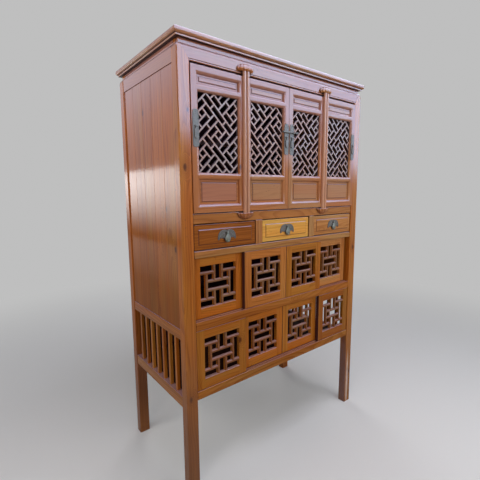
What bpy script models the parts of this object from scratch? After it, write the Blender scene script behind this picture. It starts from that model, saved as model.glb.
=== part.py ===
"""Food cabinet: a tall pine kitchen cabinet with lattice doors, drawers and two tiers of sliding panels.

Metres, +Z up, the front faces -Y, the four feet stand on z = 0.
"""
import math

import bmesh
import bpy
from mathutils.geometry import delaunay_2d_cdt

# Overall size
TOTAL_H = 1.800
BODY_W = 1.100
BODY_D = 0.550
TOP_T = 0.0265
TOP_FILLET_H = 0.0062
TOP_FILLET_OUT = 0.003
TOP_NOSE_RISE = 0.0165
TOP_NOSE_EASE = 0.004
TOP_OVERHANG = 0.012
POST_W = 0.050
POST_D = 0.042
POST_ROUND = 0.004

# Clearances
FIT_GAP = 0.0003
DOOR_GAP = 0.0008
DOOR_LIFT_GAP = 0.0080
DOOR_SILL_GAP = 0.0025
DRAWER_GAP = 0.0036
DRAWER_FOOT_GAP = 0.0030
SLIDE_GAP = 0.0010

# Heights down the front, from the top board to the legs
FRIEZE_H = 0.0715
DOOR_SILL_H = 0.039
DRAWER_OPENING_H = 0.104
DRAWER_SILL_H = 0.028
UPPER_TIER_H = 0.252
MIDDLE_RAIL_H = 0.038
LOWER_TIER_H = 0.252
BOTTOM_RAIL_H = 0.036

# Rails behind the post face
TRACK_RAIL_SET = 0.002
TRACK_RAIL_D = 0.046
DOOR_RAIL_SET = 0.004
DOOR_RAIL_D = 0.026
FRIEZE_SET = 0.0006
WAIST_H = 0.017
WAIST_SET = 0.0105
WAIST_LAP = 0.001
SHOULDER_H = 0.018
BEAD_H = 0.007
BEAD_D = 0.0022
BEAD_QUIRK = 0.0014

# Boards
PANEL_T = 0.014
PANEL_SET = 0.005
SIDE_RAIL_SET = 0.002
SIDE_RAIL_T = 0.026
SIDE_TOP_RAIL_H = 0.0755
SIDE_MID_RAIL_DROP = 0.028
SIDE_MID_RAIL_H = 0.042
SIDE_BOTTOM_RAIL_DROP = 0.020
SIDE_BOTTOM_RAIL_H = 0.046
SIDE_BOARDS = 5
BOARD_GROOVE = 0.0010
SPINDLES = 7
SPINDLE_W = 0.015
SPINDLE_T = 0.014
SPINDLE_SET = 0.006
SPINDLE_TENON = 0.008
FLOOR_T = 0.014
SHELF_RISE = 0.262
SHELF_FRONT_GAP = 0.012
DIVIDER_W = 0.036
DIVIDER_FRONT_D = 0.026
DIVIDER_WEB = 0.014

# Doors
DOOR_T = 0.026
DOOR_PROUD = 0.003
STILE_W = 0.032
DOOR_BOTTOM_RAIL = 0.032
LOWER_PANEL_H = 0.092
LOCK_RAIL = 0.027
LATTICE_H = 0.287
UPPER_RAIL = 0.028
UPPER_PANEL_H = 0.031
DOOR_TOP_RAIL = 0.0295
FREE_EDGE_SLOPE = 0.002
EDGE_ROUND = 0.0125
EDGE_ROUND_D = 0.0095
DOOR_PANEL_SET = 0.0105
DOOR_PANEL_T = 0.010
FIELD_RISE = 0.0028
FIELD_BEVEL = 0.0026
FIELD_MARGIN = 0.010
PANEL_SEAT = 0.004
ROD_R = 0.0075
ROD_PROUD = 0.0045
PIN_R = 0.004
PIN_L = 0.012
PIN_CLEAR = 0.0004

# Diagonal lattice
LATTICE_SET = 0.0105
LATTICE_T = 0.010
LATTICE_SEAT = 0.005
LATTICE_PITCH = 0.0256
LATTICE_BAR = 0.0066
SMALLEST_HOLE = 9e-6
SHORTEST_EDGE = 0.0012

# Lotus brackets that carry the door pivots
LOTUS_W = 0.085
LOTUS_H = 0.027
LOTUS_PROUD = 0.022
LOTUS_TOP_RISE = 0.0095
LOTUS_BOTTOM_DROP = 0.005
LOTUS_PETALS = 7
LOTUS_SCALLOP = 0.15

# Drawers
DRAWERS = 3
DRAWER_SET = 0.003
DRAWER_FRONT_T = 0.018
DRAWER_BACK_GAP = 0.045
DRAWER_SIDE_T = 0.012
DRAWER_BOTTOM_T = 0.009
DRAWER_SIDE_DROP = 0.012
DRAWER_FIELD_MARGIN = 0.022

# Sliding panels
SLIDE_T = 0.018
SLIDE_SET = 0.005
TRACK_STEP = 0.021
SLIDE_OVERLAP = 0.0015
SLIDE_AJAR = 0.011
SLIDE_STILE = 0.038
SLIDE_TOP_RAIL = 0.038
SLIDE_BOTTOM_RAIL = 0.042
FRET_SET = 0.004
FRET_T = 0.010
FRET_SEAT = 0.003
FRET_HOLE_TO_BAR = 2.0
TONGUE_T = 0.008
GROOVE_CLEAR = 0.0005
GROOVE_LOW = 0.006
GROOVE_HIGH = 0.010
TONGUE_HIGH = 0.006

# Door and drawer hardware
PLATE_W = 0.026
PLATE_H = 0.134
PLATE_T = 0.0018
PLATE_ABOVE_MID = 0.0135
PULL_DROP = 0.060
PULL_L = 0.044
PULL_W = 0.017
PULL_T = 0.0024
PULL_AXIS_OUT = 0.0055
BARREL_W = 0.008
BARREL_R = 0.0030
WIRE_R = 0.0013
WIRE_CLEAR = 0.0004
LUG_T = 0.0022
LUG_H = 0.0050
BAT_W = 0.090
BAT_H = 0.041
PEAR_L = 0.040
PEAR_W = 0.028
PEAR_T = 0.009
BOLT_DROP = 0.037
BOLT_R = 0.0026
BOLT_CLEAR = 0.0003
SLEEVE_R = 0.0042
SLEEVE_L = 0.043
GUIDE_L = 0.010
GUIDE_SPACING = 0.017
BOLT_L = 0.045
BOLT_HEAD_L = 0.010
BOLT_HEAD_R = 0.0055

# Facets of rounded edges
EDGE_STEPS = 5
SHARP_ANGLE = 28

# Derived planes
OPEN_W = BODY_W - 2 * POST_W
HALF_OPEN = OPEN_W / 2
HALF_W = BODY_W / 2
FRONT_Y = -BODY_D / 2 + (LOTUS_PROUD - TOP_OVERHANG) / 2
BACK_Y = FRONT_Y + BODY_D
BODY_TOP = TOTAL_H - TOP_T
SHOULDER_Z = BODY_TOP - WAIST_H
FRIEZE_Z = BODY_TOP - FRIEZE_H
LATTICE_RISE = DOOR_BOTTOM_RAIL + LOWER_PANEL_H + LOCK_RAIL
DOOR_H = LATTICE_RISE + LATTICE_H + UPPER_RAIL + UPPER_PANEL_H + DOOR_TOP_RAIL
DOOR_Z = FRIEZE_Z - DOOR_LIFT_GAP - DOOR_H
DOOR_OPENING_Z = DOOR_Z - DOOR_SILL_GAP
DOOR_SILL_Z = DOOR_OPENING_Z - DOOR_SILL_H
DRAWER_Z = DOOR_SILL_Z - DRAWER_OPENING_H
DRAWER_SILL_Z = DRAWER_Z - DRAWER_SILL_H
UPPER_TIER_Z = DRAWER_SILL_Z - UPPER_TIER_H
MIDDLE_RAIL_Z = UPPER_TIER_Z - MIDDLE_RAIL_H
LOWER_TIER_Z = MIDDLE_RAIL_Z - LOWER_TIER_H
BOTTOM_RAIL_Z = LOWER_TIER_Z - BOTTOM_RAIL_H
SIDE_MID_RAIL_TOP = UPPER_TIER_Z - SIDE_MID_RAIL_DROP
SIDE_BOTTOM_RAIL_TOP = LOWER_TIER_Z - SIDE_BOTTOM_RAIL_DROP
PANEL_INNER = HALF_W - PANEL_SET - PANEL_T
TRACK_BACK = FRONT_Y + TRACK_RAIL_SET + TRACK_RAIL_D
POST_BACK_FACE = BACK_Y - POST_D
CELL_W = OPEN_W / 4
DOOR_FACE_Y = FRONT_Y - DOOR_PROUD
PIVOT_Y = DOOR_FACE_Y - ROD_PROUD
PIVOT_INSET = ROD_R + DOOR_GAP
DOOR_RAIL_Y = FRONT_Y + DOOR_RAIL_SET
FRIEZE_Y = FRONT_Y + FRIEZE_SET
MITRE_TOP = HALF_W - WAIST_SET - WAIST_LAP
MITRE_RUN = (MITRE_TOP - HALF_OPEN) / (SHOULDER_Z - FRIEZE_Z)
PLATE_RISE = LATTICE_RISE + LATTICE_H / 2 + PLATE_ABOVE_MID
LOTUS_TOP_RIM = FRIEZE_Z + LOTUS_TOP_RISE
LOTUS_BOTTOM_RIM = DOOR_OPENING_Z - LOTUS_BOTTOM_DROP
DRAWER_L = BODY_D - DRAWER_SET - POST_D - DRAWER_BACK_GAP
BAY_W = (OPEN_W - (DRAWERS - 1) * DIVIDER_W) / DRAWERS

# Wood and metal colours
PINE = (0.47, 0.185, 0.045)
PINE_DOOR = (0.52, 0.225, 0.075)
PINE_LATTICE = (0.50, 0.27, 0.14)
PINE_DARK = (0.30, 0.100, 0.022)
PINE_PALE = (0.66, 0.330, 0.075)
PINE_INSIDE = (0.22, 0.085, 0.025)
PEWTER = (0.19, 0.21, 0.20)

for item in list(bpy.data.objects):
    bpy.data.objects.remove(item, do_unlink=True)


def material(name, colour, roughness, metallic):
    """A Principled BSDF material, made once for each name."""
    found = bpy.data.materials.get(name)
    if found:
        return found
    made = bpy.data.materials.new(name)
    made.use_nodes = True
    shader = made.node_tree.nodes["Principled BSDF"]
    shader.inputs["Base Color"].default_value = (*colour, 1.0)
    shader.inputs["Roughness"].default_value = roughness
    shader.inputs["Metallic"].default_value = metallic
    made.diffuse_color = (*colour, 1.0)
    return made


def solid(verts, faces, name="piece"):
    """An object from vertices and faces, joined where they meet, its normals turned outward."""
    mesh = bpy.data.meshes.new(name)
    work = bmesh.new()
    points = [work.verts.new(v) for v in verts]
    for face in faces:
        work.faces.new([points[i] for i in face])
    bmesh.ops.remove_doubles(work, verts=work.verts[:], dist=1e-6)
    bmesh.ops.recalc_face_normals(work, faces=work.faces[:])
    work.to_mesh(mesh)
    work.free()
    made = bpy.data.objects.new(name, mesh)
    bpy.context.scene.collection.objects.link(made)
    return made


def loft(loops):
    """A solid through loops of equal length, closed by a flat cap at each end."""
    count = len(loops[0])
    verts = [p for loop in loops for p in loop]
    faces = [list(range(count)), list(range(len(verts) - count, len(verts)))]
    for k in range(len(loops) - 1):
        for i in range(count):
            j = (i + 1) % count
            faces.append([k * count + i, k * count + j, (k + 1) * count + j, (k + 1) * count + i])
    return solid(verts, faces)


def along(axis, a, p, q):
    """A point from its distance along an axis and its two coordinates across it."""
    if axis == "x":
        return (a, p, q)
    if axis == "y":
        return (p, a, q)
    return (p, q, a)


def prism(outline, a0, a1, axis):
    """An outline carried along an axis."""
    return loft([[along(axis, a, p, q) for p, q in outline] for a in (a0, a1)])


def box(x0, x1, y0, y1, z0, z1):
    return prism([(x0, y0), (x1, y0), (x1, y1), (x0, y1)], z0, z1, "z")


def round_bar(p, q, radius, a0, a1, axis, sides=16):
    """A round bar centred on (p, q) across the axis."""
    outline = []
    for i in range(sides):
        turn = 2 * math.pi * (i + 0.5) / sides
        outline.append((p + radius * math.cos(turn), q + radius * math.sin(turn)))
    return prism(outline, a0, a1, axis)


def rectangle(x0, x1, z0, z1):
    return [(x0, z0), (x1, z0), (x1, z1), (x0, z1)]


def inside(ring, point):
    """Whether a point lies inside an outline."""
    found = False
    for i in range(len(ring)):
        p, q = ring[i - 1], ring[i]
        if (p[1] > point[1]) != (q[1] > point[1]):
            share = (point[1] - p[1]) / (q[1] - p[1])
            if point[0] < p[0] + share * (q[0] - p[0]):
                found = not found
    return found


def grown(ring, by):
    """A rectangle made larger by the same amount on each side."""
    mid = [sum(p[k] for p in ring) / len(ring) for k in range(2)]
    return [tuple(p[k] + math.copysign(by, p[k] - mid[k]) for k in range(2)) for p in ring]


def flat(outline, holes):
    """The points and triangles of a flat outline with openings in it."""
    points = []
    edges = []
    for ring in [outline] + holes:
        first = len(points)
        points.extend(ring)
        for i in range(len(ring)):
            edges.append((first + i, first + (i + 1) % len(ring)))
    made = delaunay_2d_cdt(points, edges, [], 1, 1e-7)
    spots = [(p[0], p[1]) for p in made[0]]
    triangles = []
    for tri in made[2]:
        middle = [sum(spots[i][k] for i in tri) / 3 for k in range(2)]
        if not any(inside(ring, middle) for ring in holes):
            triangles.append(list(tri))
    return spots, triangles


def pierced(outline, holes, y0, y1, steps=((0.0, 0.0),)):
    """A flat board from y0 to y1 with openings, their front edges in steps of width and depth."""
    verts = []
    faces = []

    def add(points, found):
        first = len(verts)
        verts.extend(points)
        faces.extend([[first + i for i in face] for face in found])

    for y, by in ((y0, steps[0][0]), (y1, 0.0)):
        spots, triangles = flat(outline, [grown(ring, by) for ring in holes] if by else holes)
        add([(p, y, q) for p, q in spots], triangles)
    for ring, levels in [(outline, ((0.0, 0.0),))] + [(ring, steps) for ring in holes]:
        loops = [(grown(ring, by) if by else ring, y0 + depth) for by, depth in levels] + [(ring, y1)]
        count = len(ring)
        walls = [[i, (i + 1) % count, count + (i + 1) % count, count + i] for i in range(count)]
        for (front, y_front), (rear, y_rear) in zip(loops, loops[1:]):
            add([(p, y_front, q) for p, q in front] + [(p, y_rear, q) for p, q in rear], walls)
    return solid(verts, faces)


def combine(base, tool, operation):
    """Join a tool to a base, or cut it away, and keep the result as the base's own mesh."""
    step = base.modifiers.new(operation.lower(), "BOOLEAN")
    step.solver = "EXACT"
    step.operation = operation
    step.object = tool
    graph = bpy.context.evaluated_depsgraph_get()
    made = bpy.data.meshes.new_from_object(base.evaluated_get(graph))
    base.modifiers.clear()
    base.data = made
    bpy.data.objects.remove(tool, do_unlink=True)
    return base


def joined(base, *tools):
    for tool in tools:
        combine(base, tool, "UNION")
    return base


def cut(base, *tools):
    for tool in tools:
        combine(base, tool, "DIFFERENCE")
    return base


def place(made, name, look, location=(0, 0, 0), parent=None, rounded=False):
    """Name a finished piece, clean it, give it its material, shade it and put it in place."""
    work = bmesh.new()
    work.from_mesh(made.data)
    bmesh.ops.remove_doubles(work, verts=work.verts[:], dist=1e-6)
    bmesh.ops.dissolve_degenerate(work, edges=work.edges[:], dist=1e-6)
    work.to_mesh(made.data)
    work.free()
    made.name = name
    made.data.name = name
    made.data.materials.clear()
    made.data.materials.append(look)
    if rounded:
        made.data.shade_smooth()
        made.data.set_sharp_from_angle(angle=math.radians(SHARP_ANGLE))
    else:
        made.data.shade_flat()
    made.location = location
    made.parent = parent
    return made


def frustum(x0, x1, z0, z1, y_wide, grow, y_narrow):
    """A four-sided block, larger by grow all round at y_wide than at y_narrow."""
    wide = [(p, y_wide, q) for p, q in rectangle(x0 - grow, x1 + grow, z0 - grow, z1 + grow)]
    narrow = [(p, y_narrow, q) for p, q in rectangle(x0, x1, z0, z1)]
    return loft([wide, narrow])


def edge_steps():
    """The rounded front edge of a door's opening, from its face to its wall."""
    steps = []
    for i in range(EDGE_STEPS):
        turn = math.pi / 2 * i / EDGE_STEPS
        steps.append((EDGE_ROUND * (1 - math.sin(turn)), EDGE_ROUND_D * (1 - math.cos(turn))))
    return steps + [(0.0, EDGE_ROUND_D)]


def raised_field(x0, x1, z0, z1, base_y, rise, margin, bevel):
    """A bevelled field that stands on a board whose face is at base_y, rooted a little in it."""
    root = 0.002
    grow = bevel * (rise + root) / rise
    return frustum(x0 + margin + bevel, x1 - margin - bevel, z0 + margin + bevel, z1 - margin - bevel,
                   base_y + root, grow, base_y - rise)


def groove_profile(y0, y1, z0, z1, low_grooves, high_grooves):
    """A rail section with grooves let into its underside and its top, listed front to back."""
    outline = [(y0, z0)]
    for start, end in low_grooves:
        outline += [(start, z0), (start, z0 + GROOVE_HIGH), (end, z0 + GROOVE_HIGH), (end, z0)]
    outline += [(y1, z0), (y1, z1)]
    for start, end in reversed(high_grooves):
        outline += [(end, z1), (end, z1 - GROOVE_LOW), (start, z1 - GROOVE_LOW), (start, z1)]
    outline.append((y0, z1))
    return outline


PINE_LOOK = material("pine_varnished", PINE, 0.28, 0.0)
DOOR_LOOK = material("pine_door", PINE_DOOR, 0.28, 0.0)
LATTICE_LOOK = material("pine_lattice", PINE_LATTICE, 0.35, 0.0)
DARK_LOOK = material("pine_dark", PINE_DARK, 0.30, 0.0)
PALE_LOOK = material("pine_pale", PINE_PALE, 0.30, 0.0)
INSIDE_LOOK = material("pine_inside", PINE_INSIDE, 0.60, 0.0)
METAL_LOOK = material("pewter", PEWTER, 0.45, 0.75)


def shoulder_steps():
    """The rounded rise from the frieze face to the waist above it, as set-back and height."""
    steps = []
    for i in range(EDGE_STEPS + 1):
        turn = math.pi / 2 * i / EDGE_STEPS
        steps.append((WAIST_SET * (1 - math.cos(turn)), SHOULDER_Z - SHOULDER_H * (1 - math.sin(turn))))
    return steps


def post_outline(x_mid, y_mid, half_w, half_d):
    """A rectangle with rounded corners."""
    outline = []
    for quarter in range(4):
        for step in range(EDGE_STEPS + 1):
            turn = math.pi / 2 * (quarter + step / EDGE_STEPS)
            corner = math.pi / 2 * (quarter + 0.5)
            p = math.copysign(half_w - POST_ROUND, math.cos(corner)) + POST_ROUND * math.cos(turn)
            q = math.copysign(half_d - POST_ROUND, math.sin(corner)) + POST_ROUND * math.sin(turn)
            outline.append((x_mid + p, y_mid + q))
    return outline


def make_posts():
    """Square posts whose outer faces draw in over a rounded shoulder to the waist under the top."""
    levels = [(0.0, 0.0)] + shoulder_steps() + [(WAIST_SET, BODY_TOP - FIT_GAP)]
    for side, x_name in ((-1, "left"), (1, "right")):
        for out, y_mid, y_name in ((-1, FRONT_Y + POST_D / 2, "front"), (1, BACK_Y - POST_D / 2, "back")):
            x_mid = side * (HALF_W - POST_W / 2)
            loops = []
            for inset, z in levels:
                outline = post_outline(x_mid - side * inset / 2, y_mid - out * inset / 2,
                                       (POST_W - inset) / 2, (POST_D - inset) / 2)
                loops.append([(p, q, z) for p, q in outline])
            post = loft(loops)
            if y_name == "front":
                cut(post, mitre_tool(side))
            place(post, "post_%s_%s" % (y_name, x_name), PINE_LOOK, rounded=True)


def mitre_tool(side):
    """What a front post loses to the mitred end of the frieze and to the waist above it."""
    past = 0.002
    x0 = HALF_OPEN - past
    z0 = FRIEZE_Z - past / MITRE_RUN
    x1 = HALF_W + past
    z1 = BODY_TOP + past
    ledge = SHOULDER_Z + FIT_GAP
    outline = [(side * x0, z0), (side * MITRE_TOP, SHOULDER_Z), (side * MITRE_TOP, ledge), (side * x1, ledge),
               (side * x1, z1), (side * x0, z1)]
    return prism(outline, FRONT_Y - past, FRIEZE_Y + DOOR_RAIL_D + FIT_GAP, "y")


def frieze_tool(side):
    """The corner below the mitre that an end of the frieze loses to its post."""
    past = 0.004
    x0 = HALF_OPEN - FIT_GAP - past
    z0 = FRIEZE_Z - past / MITRE_RUN
    x1 = MITRE_TOP + past
    z1 = z0 + (x1 - x0) / MITRE_RUN
    outline = [(side * x0, z0), (side * x1, z0), (side * x1, z1)]
    return prism(outline, FRIEZE_Y - past, FRIEZE_Y + DOOR_RAIL_D + past, "y")


def make_top():
    """A board with a full rounded nose over a small upright fillet."""
    steps = [(0.0, TOP_FILLET_OUT), (TOP_FILLET_H, TOP_FILLET_OUT)]
    for i in range(1, EDGE_STEPS + 1):
        turn = math.pi / 2 * i / EDGE_STEPS
        steps.append((TOP_NOSE_RISE - (TOP_NOSE_RISE - TOP_FILLET_H) * math.cos(turn),
                      TOP_FILLET_OUT + (TOP_OVERHANG - TOP_FILLET_OUT) * math.sin(turn)))
    for i in range(1, EDGE_STEPS + 1):
        turn = math.pi / 2 * i / EDGE_STEPS
        steps.append((TOP_NOSE_RISE + (TOP_T - TOP_NOSE_RISE) * math.sin(turn),
                      TOP_OVERHANG - TOP_NOSE_EASE * (1 - math.cos(turn))))
    loops = []
    for rise, reach in steps:
        x = HALF_W + reach
        y0 = FRONT_Y - reach
        y1 = BACK_Y + reach
        z = BODY_TOP + rise
        loops.append([(-x, y0, z), (x, y0, z), (x, y1, z), (-x, y1, z)])
    place(loft(loops), "top_board", PINE_LOOK, rounded=True)


def make_front_rails():
    y0 = FRIEZE_Y
    y1 = y0 + DOOR_RAIL_D
    outline = []
    for i in range(9):
        turn = math.pi * (0.5 - i / 8)
        outline.append((y0 + BEAD_D * (1 - math.cos(turn)), FRIEZE_Z + BEAD_H / 2 * (1 + math.sin(turn))))
    outline += [(y1, FRIEZE_Z), (y1, BODY_TOP - FIT_GAP), (y0 + WAIST_SET, BODY_TOP - FIT_GAP)]
    outline += [(y0 + inset, z) for inset, z in reversed(shoulder_steps())]
    outline.append((y0, FRIEZE_Z + BEAD_H + BEAD_QUIRK))
    end = MITRE_TOP - FIT_GAP
    frieze = cut(prism(outline, -end, end, "x"), frieze_tool(-1), frieze_tool(1))
    place(frieze, "frieze_rail", PINE_LOOK, rounded=True)
    x = HALF_OPEN - FIT_GAP
    y0 = DOOR_RAIL_Y
    place(box(-x, x, y0, y0 + DOOR_RAIL_D, DOOR_SILL_Z, DOOR_OPENING_Z), "door_sill_rail", PINE_LOOK)
    half = TONGUE_T / 2 + GROOVE_CLEAR
    grooves = []
    for track in range(2):
        mid = FRONT_Y + SLIDE_SET + track * TRACK_STEP + SLIDE_T / 2
        grooves.append((mid - half, mid + half))
    y0 = FRONT_Y + TRACK_RAIL_SET
    y1 = TRACK_BACK
    rails = (("drawer_sill_rail", DRAWER_SILL_Z, DRAWER_Z, grooves, []),
             ("middle_rail", MIDDLE_RAIL_Z, UPPER_TIER_Z, grooves, grooves),
             ("bottom_rail", BOTTOM_RAIL_Z, LOWER_TIER_Z, [], grooves))
    for name, z0, z1, low, high in rails:
        place(prism(groove_profile(y0, y1, z0, z1, low, high), -x, x, "x"), name, PINE_LOOK)


def make_sides():
    y0 = FRONT_Y + POST_D + FIT_GAP
    y1 = POST_BACK_FACE - FIT_GAP
    for side, name in ((-1, "left"), (1, "right")):
        face = side * (HALF_W - PANEL_SET)
        outline = [(side * PANEL_INNER, y1), (side * PANEL_INNER, y0), (face, y0)]
        for k in range(1, SIDE_BOARDS):
            seam = y0 + (y1 - y0) * k / SIDE_BOARDS
            outline += [(face, seam - BOARD_GROOVE), (face - side * BOARD_GROOVE, seam)]
            outline.append((face, seam + BOARD_GROOVE))
        outline.append((face, y1))
        boards = prism(outline, SIDE_MID_RAIL_TOP + FIT_GAP, SHOULDER_Z - SHOULDER_H, "z")
        rail_out = side * (HALF_W - SIDE_RAIL_SET)
        rail_in = rail_out - side * SIDE_RAIL_T
        outline = [(rail_in, BODY_TOP - FIT_GAP), (rail_in, BODY_TOP - SIDE_TOP_RAIL_H)]
        outline.append((rail_out, BODY_TOP - SIDE_TOP_RAIL_H))
        for inset, z in shoulder_steps():
            outline.append((side * (HALF_W - max(SIDE_RAIL_SET, inset)), z))
        outline.append((side * (HALF_W - WAIST_SET), BODY_TOP - FIT_GAP))
        rail = prism(outline, y0, y1, "y")
        place(joined(boards, rail), "side_panel_" + name, PINE_LOOK, rounded=True)
        upper, lower = [box(min(rail_out, rail_in), max(rail_out, rail_in), y0, y1, top - height, top)
                        for top, height in ((SIDE_MID_RAIL_TOP, SIDE_MID_RAIL_H),
                                            (SIDE_BOTTOM_RAIL_TOP, SIDE_BOTTOM_RAIL_H))]
        spindle_out = rail_out - side * SPINDLE_SET
        spindle_in = spindle_out - side * SPINDLE_T
        bars = []
        for k in range(SPINDLES):
            mid = y0 + (y1 - y0) * (k + 1) / (SPINDLES + 1)
            bars.append(box(min(spindle_out, spindle_in), max(spindle_out, spindle_in),
                            mid - SPINDLE_W / 2, mid + SPINDLE_W / 2,
                            SIDE_BOTTOM_RAIL_TOP - SPINDLE_TENON,
                            SIDE_MID_RAIL_TOP - SIDE_MID_RAIL_H + SPINDLE_TENON))
        place(joined(upper, *bars, lower), "side_grille_" + name, PINE_LOOK)


def make_boards():
    x_back = HALF_OPEN - FIT_GAP
    place(box(-x_back, x_back, POST_BACK_FACE, POST_BACK_FACE + PANEL_T, BOTTOM_RAIL_Z, BODY_TOP - FIT_GAP),
          "back_panel", INSIDE_LOOK)
    y_back = POST_BACK_FACE - FIT_GAP
    x = PANEL_INNER - FIT_GAP
    y_track = TRACK_BACK + FIT_GAP
    y_cupboard = FRONT_Y + POST_D + FIT_GAP
    rail_in = HALF_W - SIDE_RAIL_SET - SIDE_RAIL_T - FIT_GAP
    floors = (("bottom_floor", rail_in, y_track, BOTTOM_RAIL_Z),
              ("tier_floor", x, y_track, SIDE_MID_RAIL_TOP + FIT_GAP),
              ("drawer_floor", x, y_track, DRAWER_Z - FLOOR_T),
              ("cupboard_shelf", x, y_cupboard + SHELF_FRONT_GAP, DOOR_OPENING_Z + SHELF_RISE))
    for name, half, y_front, z in floors:
        place(box(-half, half, y_front, y_back, z, z + FLOOR_T), name, INSIDE_LOOK)
    y_sill = DOOR_RAIL_Y + DOOR_RAIL_D + FIT_GAP
    outline = [(-x, y_cupboard), (-x_back, y_cupboard), (-x_back, y_sill), (x_back, y_sill)]
    outline += [(x_back, y_cupboard), (x, y_cupboard), (x, y_back), (-x, y_back)]
    place(prism(outline, DOOR_OPENING_Z - FLOOR_T, DOOR_OPENING_Z, "z"), "cupboard_floor", INSIDE_LOOK)
    z0 = DRAWER_Z + FIT_GAP
    z1 = DOOR_SILL_Z - FIT_GAP
    for k in range(1, DRAWERS):
        x_mid = -HALF_OPEN + k * (BAY_W + DIVIDER_W) - DIVIDER_W / 2
        wide = DIVIDER_W / 2
        web = DIVIDER_WEB / 2
        y0 = FRONT_Y + TRACK_RAIL_SET
        y1 = y0 + DIVIDER_FRONT_D
        outline = [(x_mid - wide, y0), (x_mid + wide, y0), (x_mid + wide, y1), (x_mid + web, y1),
                   (x_mid + web, y_back), (x_mid - web, y_back), (x_mid - web, y1), (x_mid - wide, y1)]
        name = "drawer_divider_" + ("left" if k == 1 else "right")
        place(prism(outline, z0, z1, "z"), name, PINE_LOOK)


def make_lotus(name, x_mid, rim_z, up):
    """A half lotus on the rail face, its wide rim toward the doors, with a blind hole for each pivot."""
    back = (FRIEZE_Y if up > 0 else DOOR_RAIL_Y) - FIT_GAP
    depth = back - (FRONT_Y - LOTUS_PROUD)
    if up > 0:
        swell = ((0.0, 0.76), (0.10, 0.91), (0.28, 1.0), (0.52, 0.95),
                 (0.76, 0.78), (0.92, 0.55), (1.0, 0.34))
    else:
        swell = ((0.0, 0.97), (0.08, 1.0), (0.34, 0.93), (0.62, 0.76), (0.86, 0.52), (1.0, 0.30))
    loops = []
    for height, scale in swell:
        loop = []
        count = 4 * LOTUS_PETALS
        for i in range(count + 1):
            turn = math.pi * i / count
            petal = 1 - LOTUS_SCALLOP * (1 - abs(math.sin(turn * LOTUS_PETALS)))
            reach = scale * petal
            loop.append((x_mid - LOTUS_W / 2 * reach * math.cos(turn),
                         back - depth * reach * math.sin(turn),
                         rim_z + up * LOTUS_H * height))
        loops.append(loop)
    bud = loft(loops)
    holes = []
    for side in (-1, 1):
        ends = sorted((rim_z - up * 0.001, rim_z + up * (PIN_L + 0.001)))
        holes.append(round_bar(x_mid + side * PIVOT_INSET, PIVOT_Y, PIN_R + PIN_CLEAR, *ends, "z"))
    place(cut(bud, *holes), name, PINE_LOOK, rounded=True)


def fret_holes(half_w, z0, z1):
    """The openings of a diagonal fret: pinwheels of four short slots round a square, and long slots."""
    cells = []
    reach = 4
    for i in range(-reach, reach + 1):
        for j in range(-reach, reach + 1):
            u = 4 * i
            v = 4 * j
            cells.append((u, u, v, v))
            if (i + j) % 2 == 0:
                cells += [(u, u + 1, v - 1, v - 1), (u + 1, u + 1, v, v + 1)]
                cells += [(u - 1, u, v + 1, v + 1), (u - 1, u - 1, v - 1, v)]
                cells += [(u + 2, u + 2, v + 1, v + 3), (u, u + 1, v + 2, v + 2), (u + 2, u + 2, v - 1, v)]
            else:
                cells += [(u - 1, u, v - 1, v - 1), (u + 1, u + 1, v - 1, v)]
                cells += [(u, u + 1, v + 1, v + 1), (u - 1, u - 1, v, v + 1)]
                cells += [(u + 1, u + 3, v + 2, v + 2), (u - 1, u, v + 2, v + 2), (u + 2, u + 2, v, v + 1)]
    holes = []
    mid = (z0 + z1) / 2
    edge = 0.5 - LATTICE_BAR / LATTICE_PITCH / 2
    turn = math.sqrt(0.5) * LATTICE_PITCH
    for u0, u1, v0, v1 in cells:
        corners = rectangle(u0 - edge, u1 + edge, v0 - edge, v1 + edge)
        ring = [(turn * (u + v), mid + turn * (u - v)) for u, v in corners]
        ring = clipped(ring, -half_w, half_w, z0, z1)
        if len(ring) > 2 and abs(area(ring)) > SMALLEST_HOLE:
            holes.append(ring)
    return holes


def area(ring):
    total = 0.0
    for i in range(len(ring)):
        p, q = ring[i - 1], ring[i]
        total += p[0] * q[1] - q[0] * p[1]
    return total / 2


def clipped(ring, x0, x1, z0, z1):
    """The part of a convex outline inside a rectangle, without very short edges."""
    for axis, limit, keep in ((0, x0, 1), (0, x1, -1), (1, z0, 1), (1, z1, -1)):
        made = []
        for i in range(len(ring)):
            p, q = ring[i - 1], ring[i]
            p_in = keep * (p[axis] - limit) >= 0
            q_in = keep * (q[axis] - limit) >= 0
            if p_in != q_in:
                share = (limit - p[axis]) / (q[axis] - p[axis])
                made.append((p[0] + share * (q[0] - p[0]), p[1] + share * (q[1] - p[1])))
            if q_in:
                made.append(q)
        ring = made
    kept = []
    for i in range(len(ring)):
        if math.dist(ring[i - 1], ring[i]) > SHORTEST_EDGE:
            kept.append(ring[i])
    return kept


def plate_outline(x_mid, z_mid):
    """A long plate with an arched head, small shoulders and a narrowed foot."""
    half = PLATE_W / 2
    head = z_mid + PLATE_H / 2
    foot = z_mid - PLATE_H / 2
    ring = [(x_mid - 0.55 * half, foot), (x_mid + 0.55 * half, foot)]
    ring += [(x_mid + half, foot + 0.5 * half), (x_mid + half, head - 1.25 * half)]
    for i in range(9):
        turn = math.pi * i / 8
        ring.append((x_mid + 0.86 * half * math.cos(turn), head - 0.95 * half * (1 - math.sin(turn))))
    ring += [(x_mid - half, head - 1.25 * half), (x_mid - half, foot + 0.5 * half)]
    return ring


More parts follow.
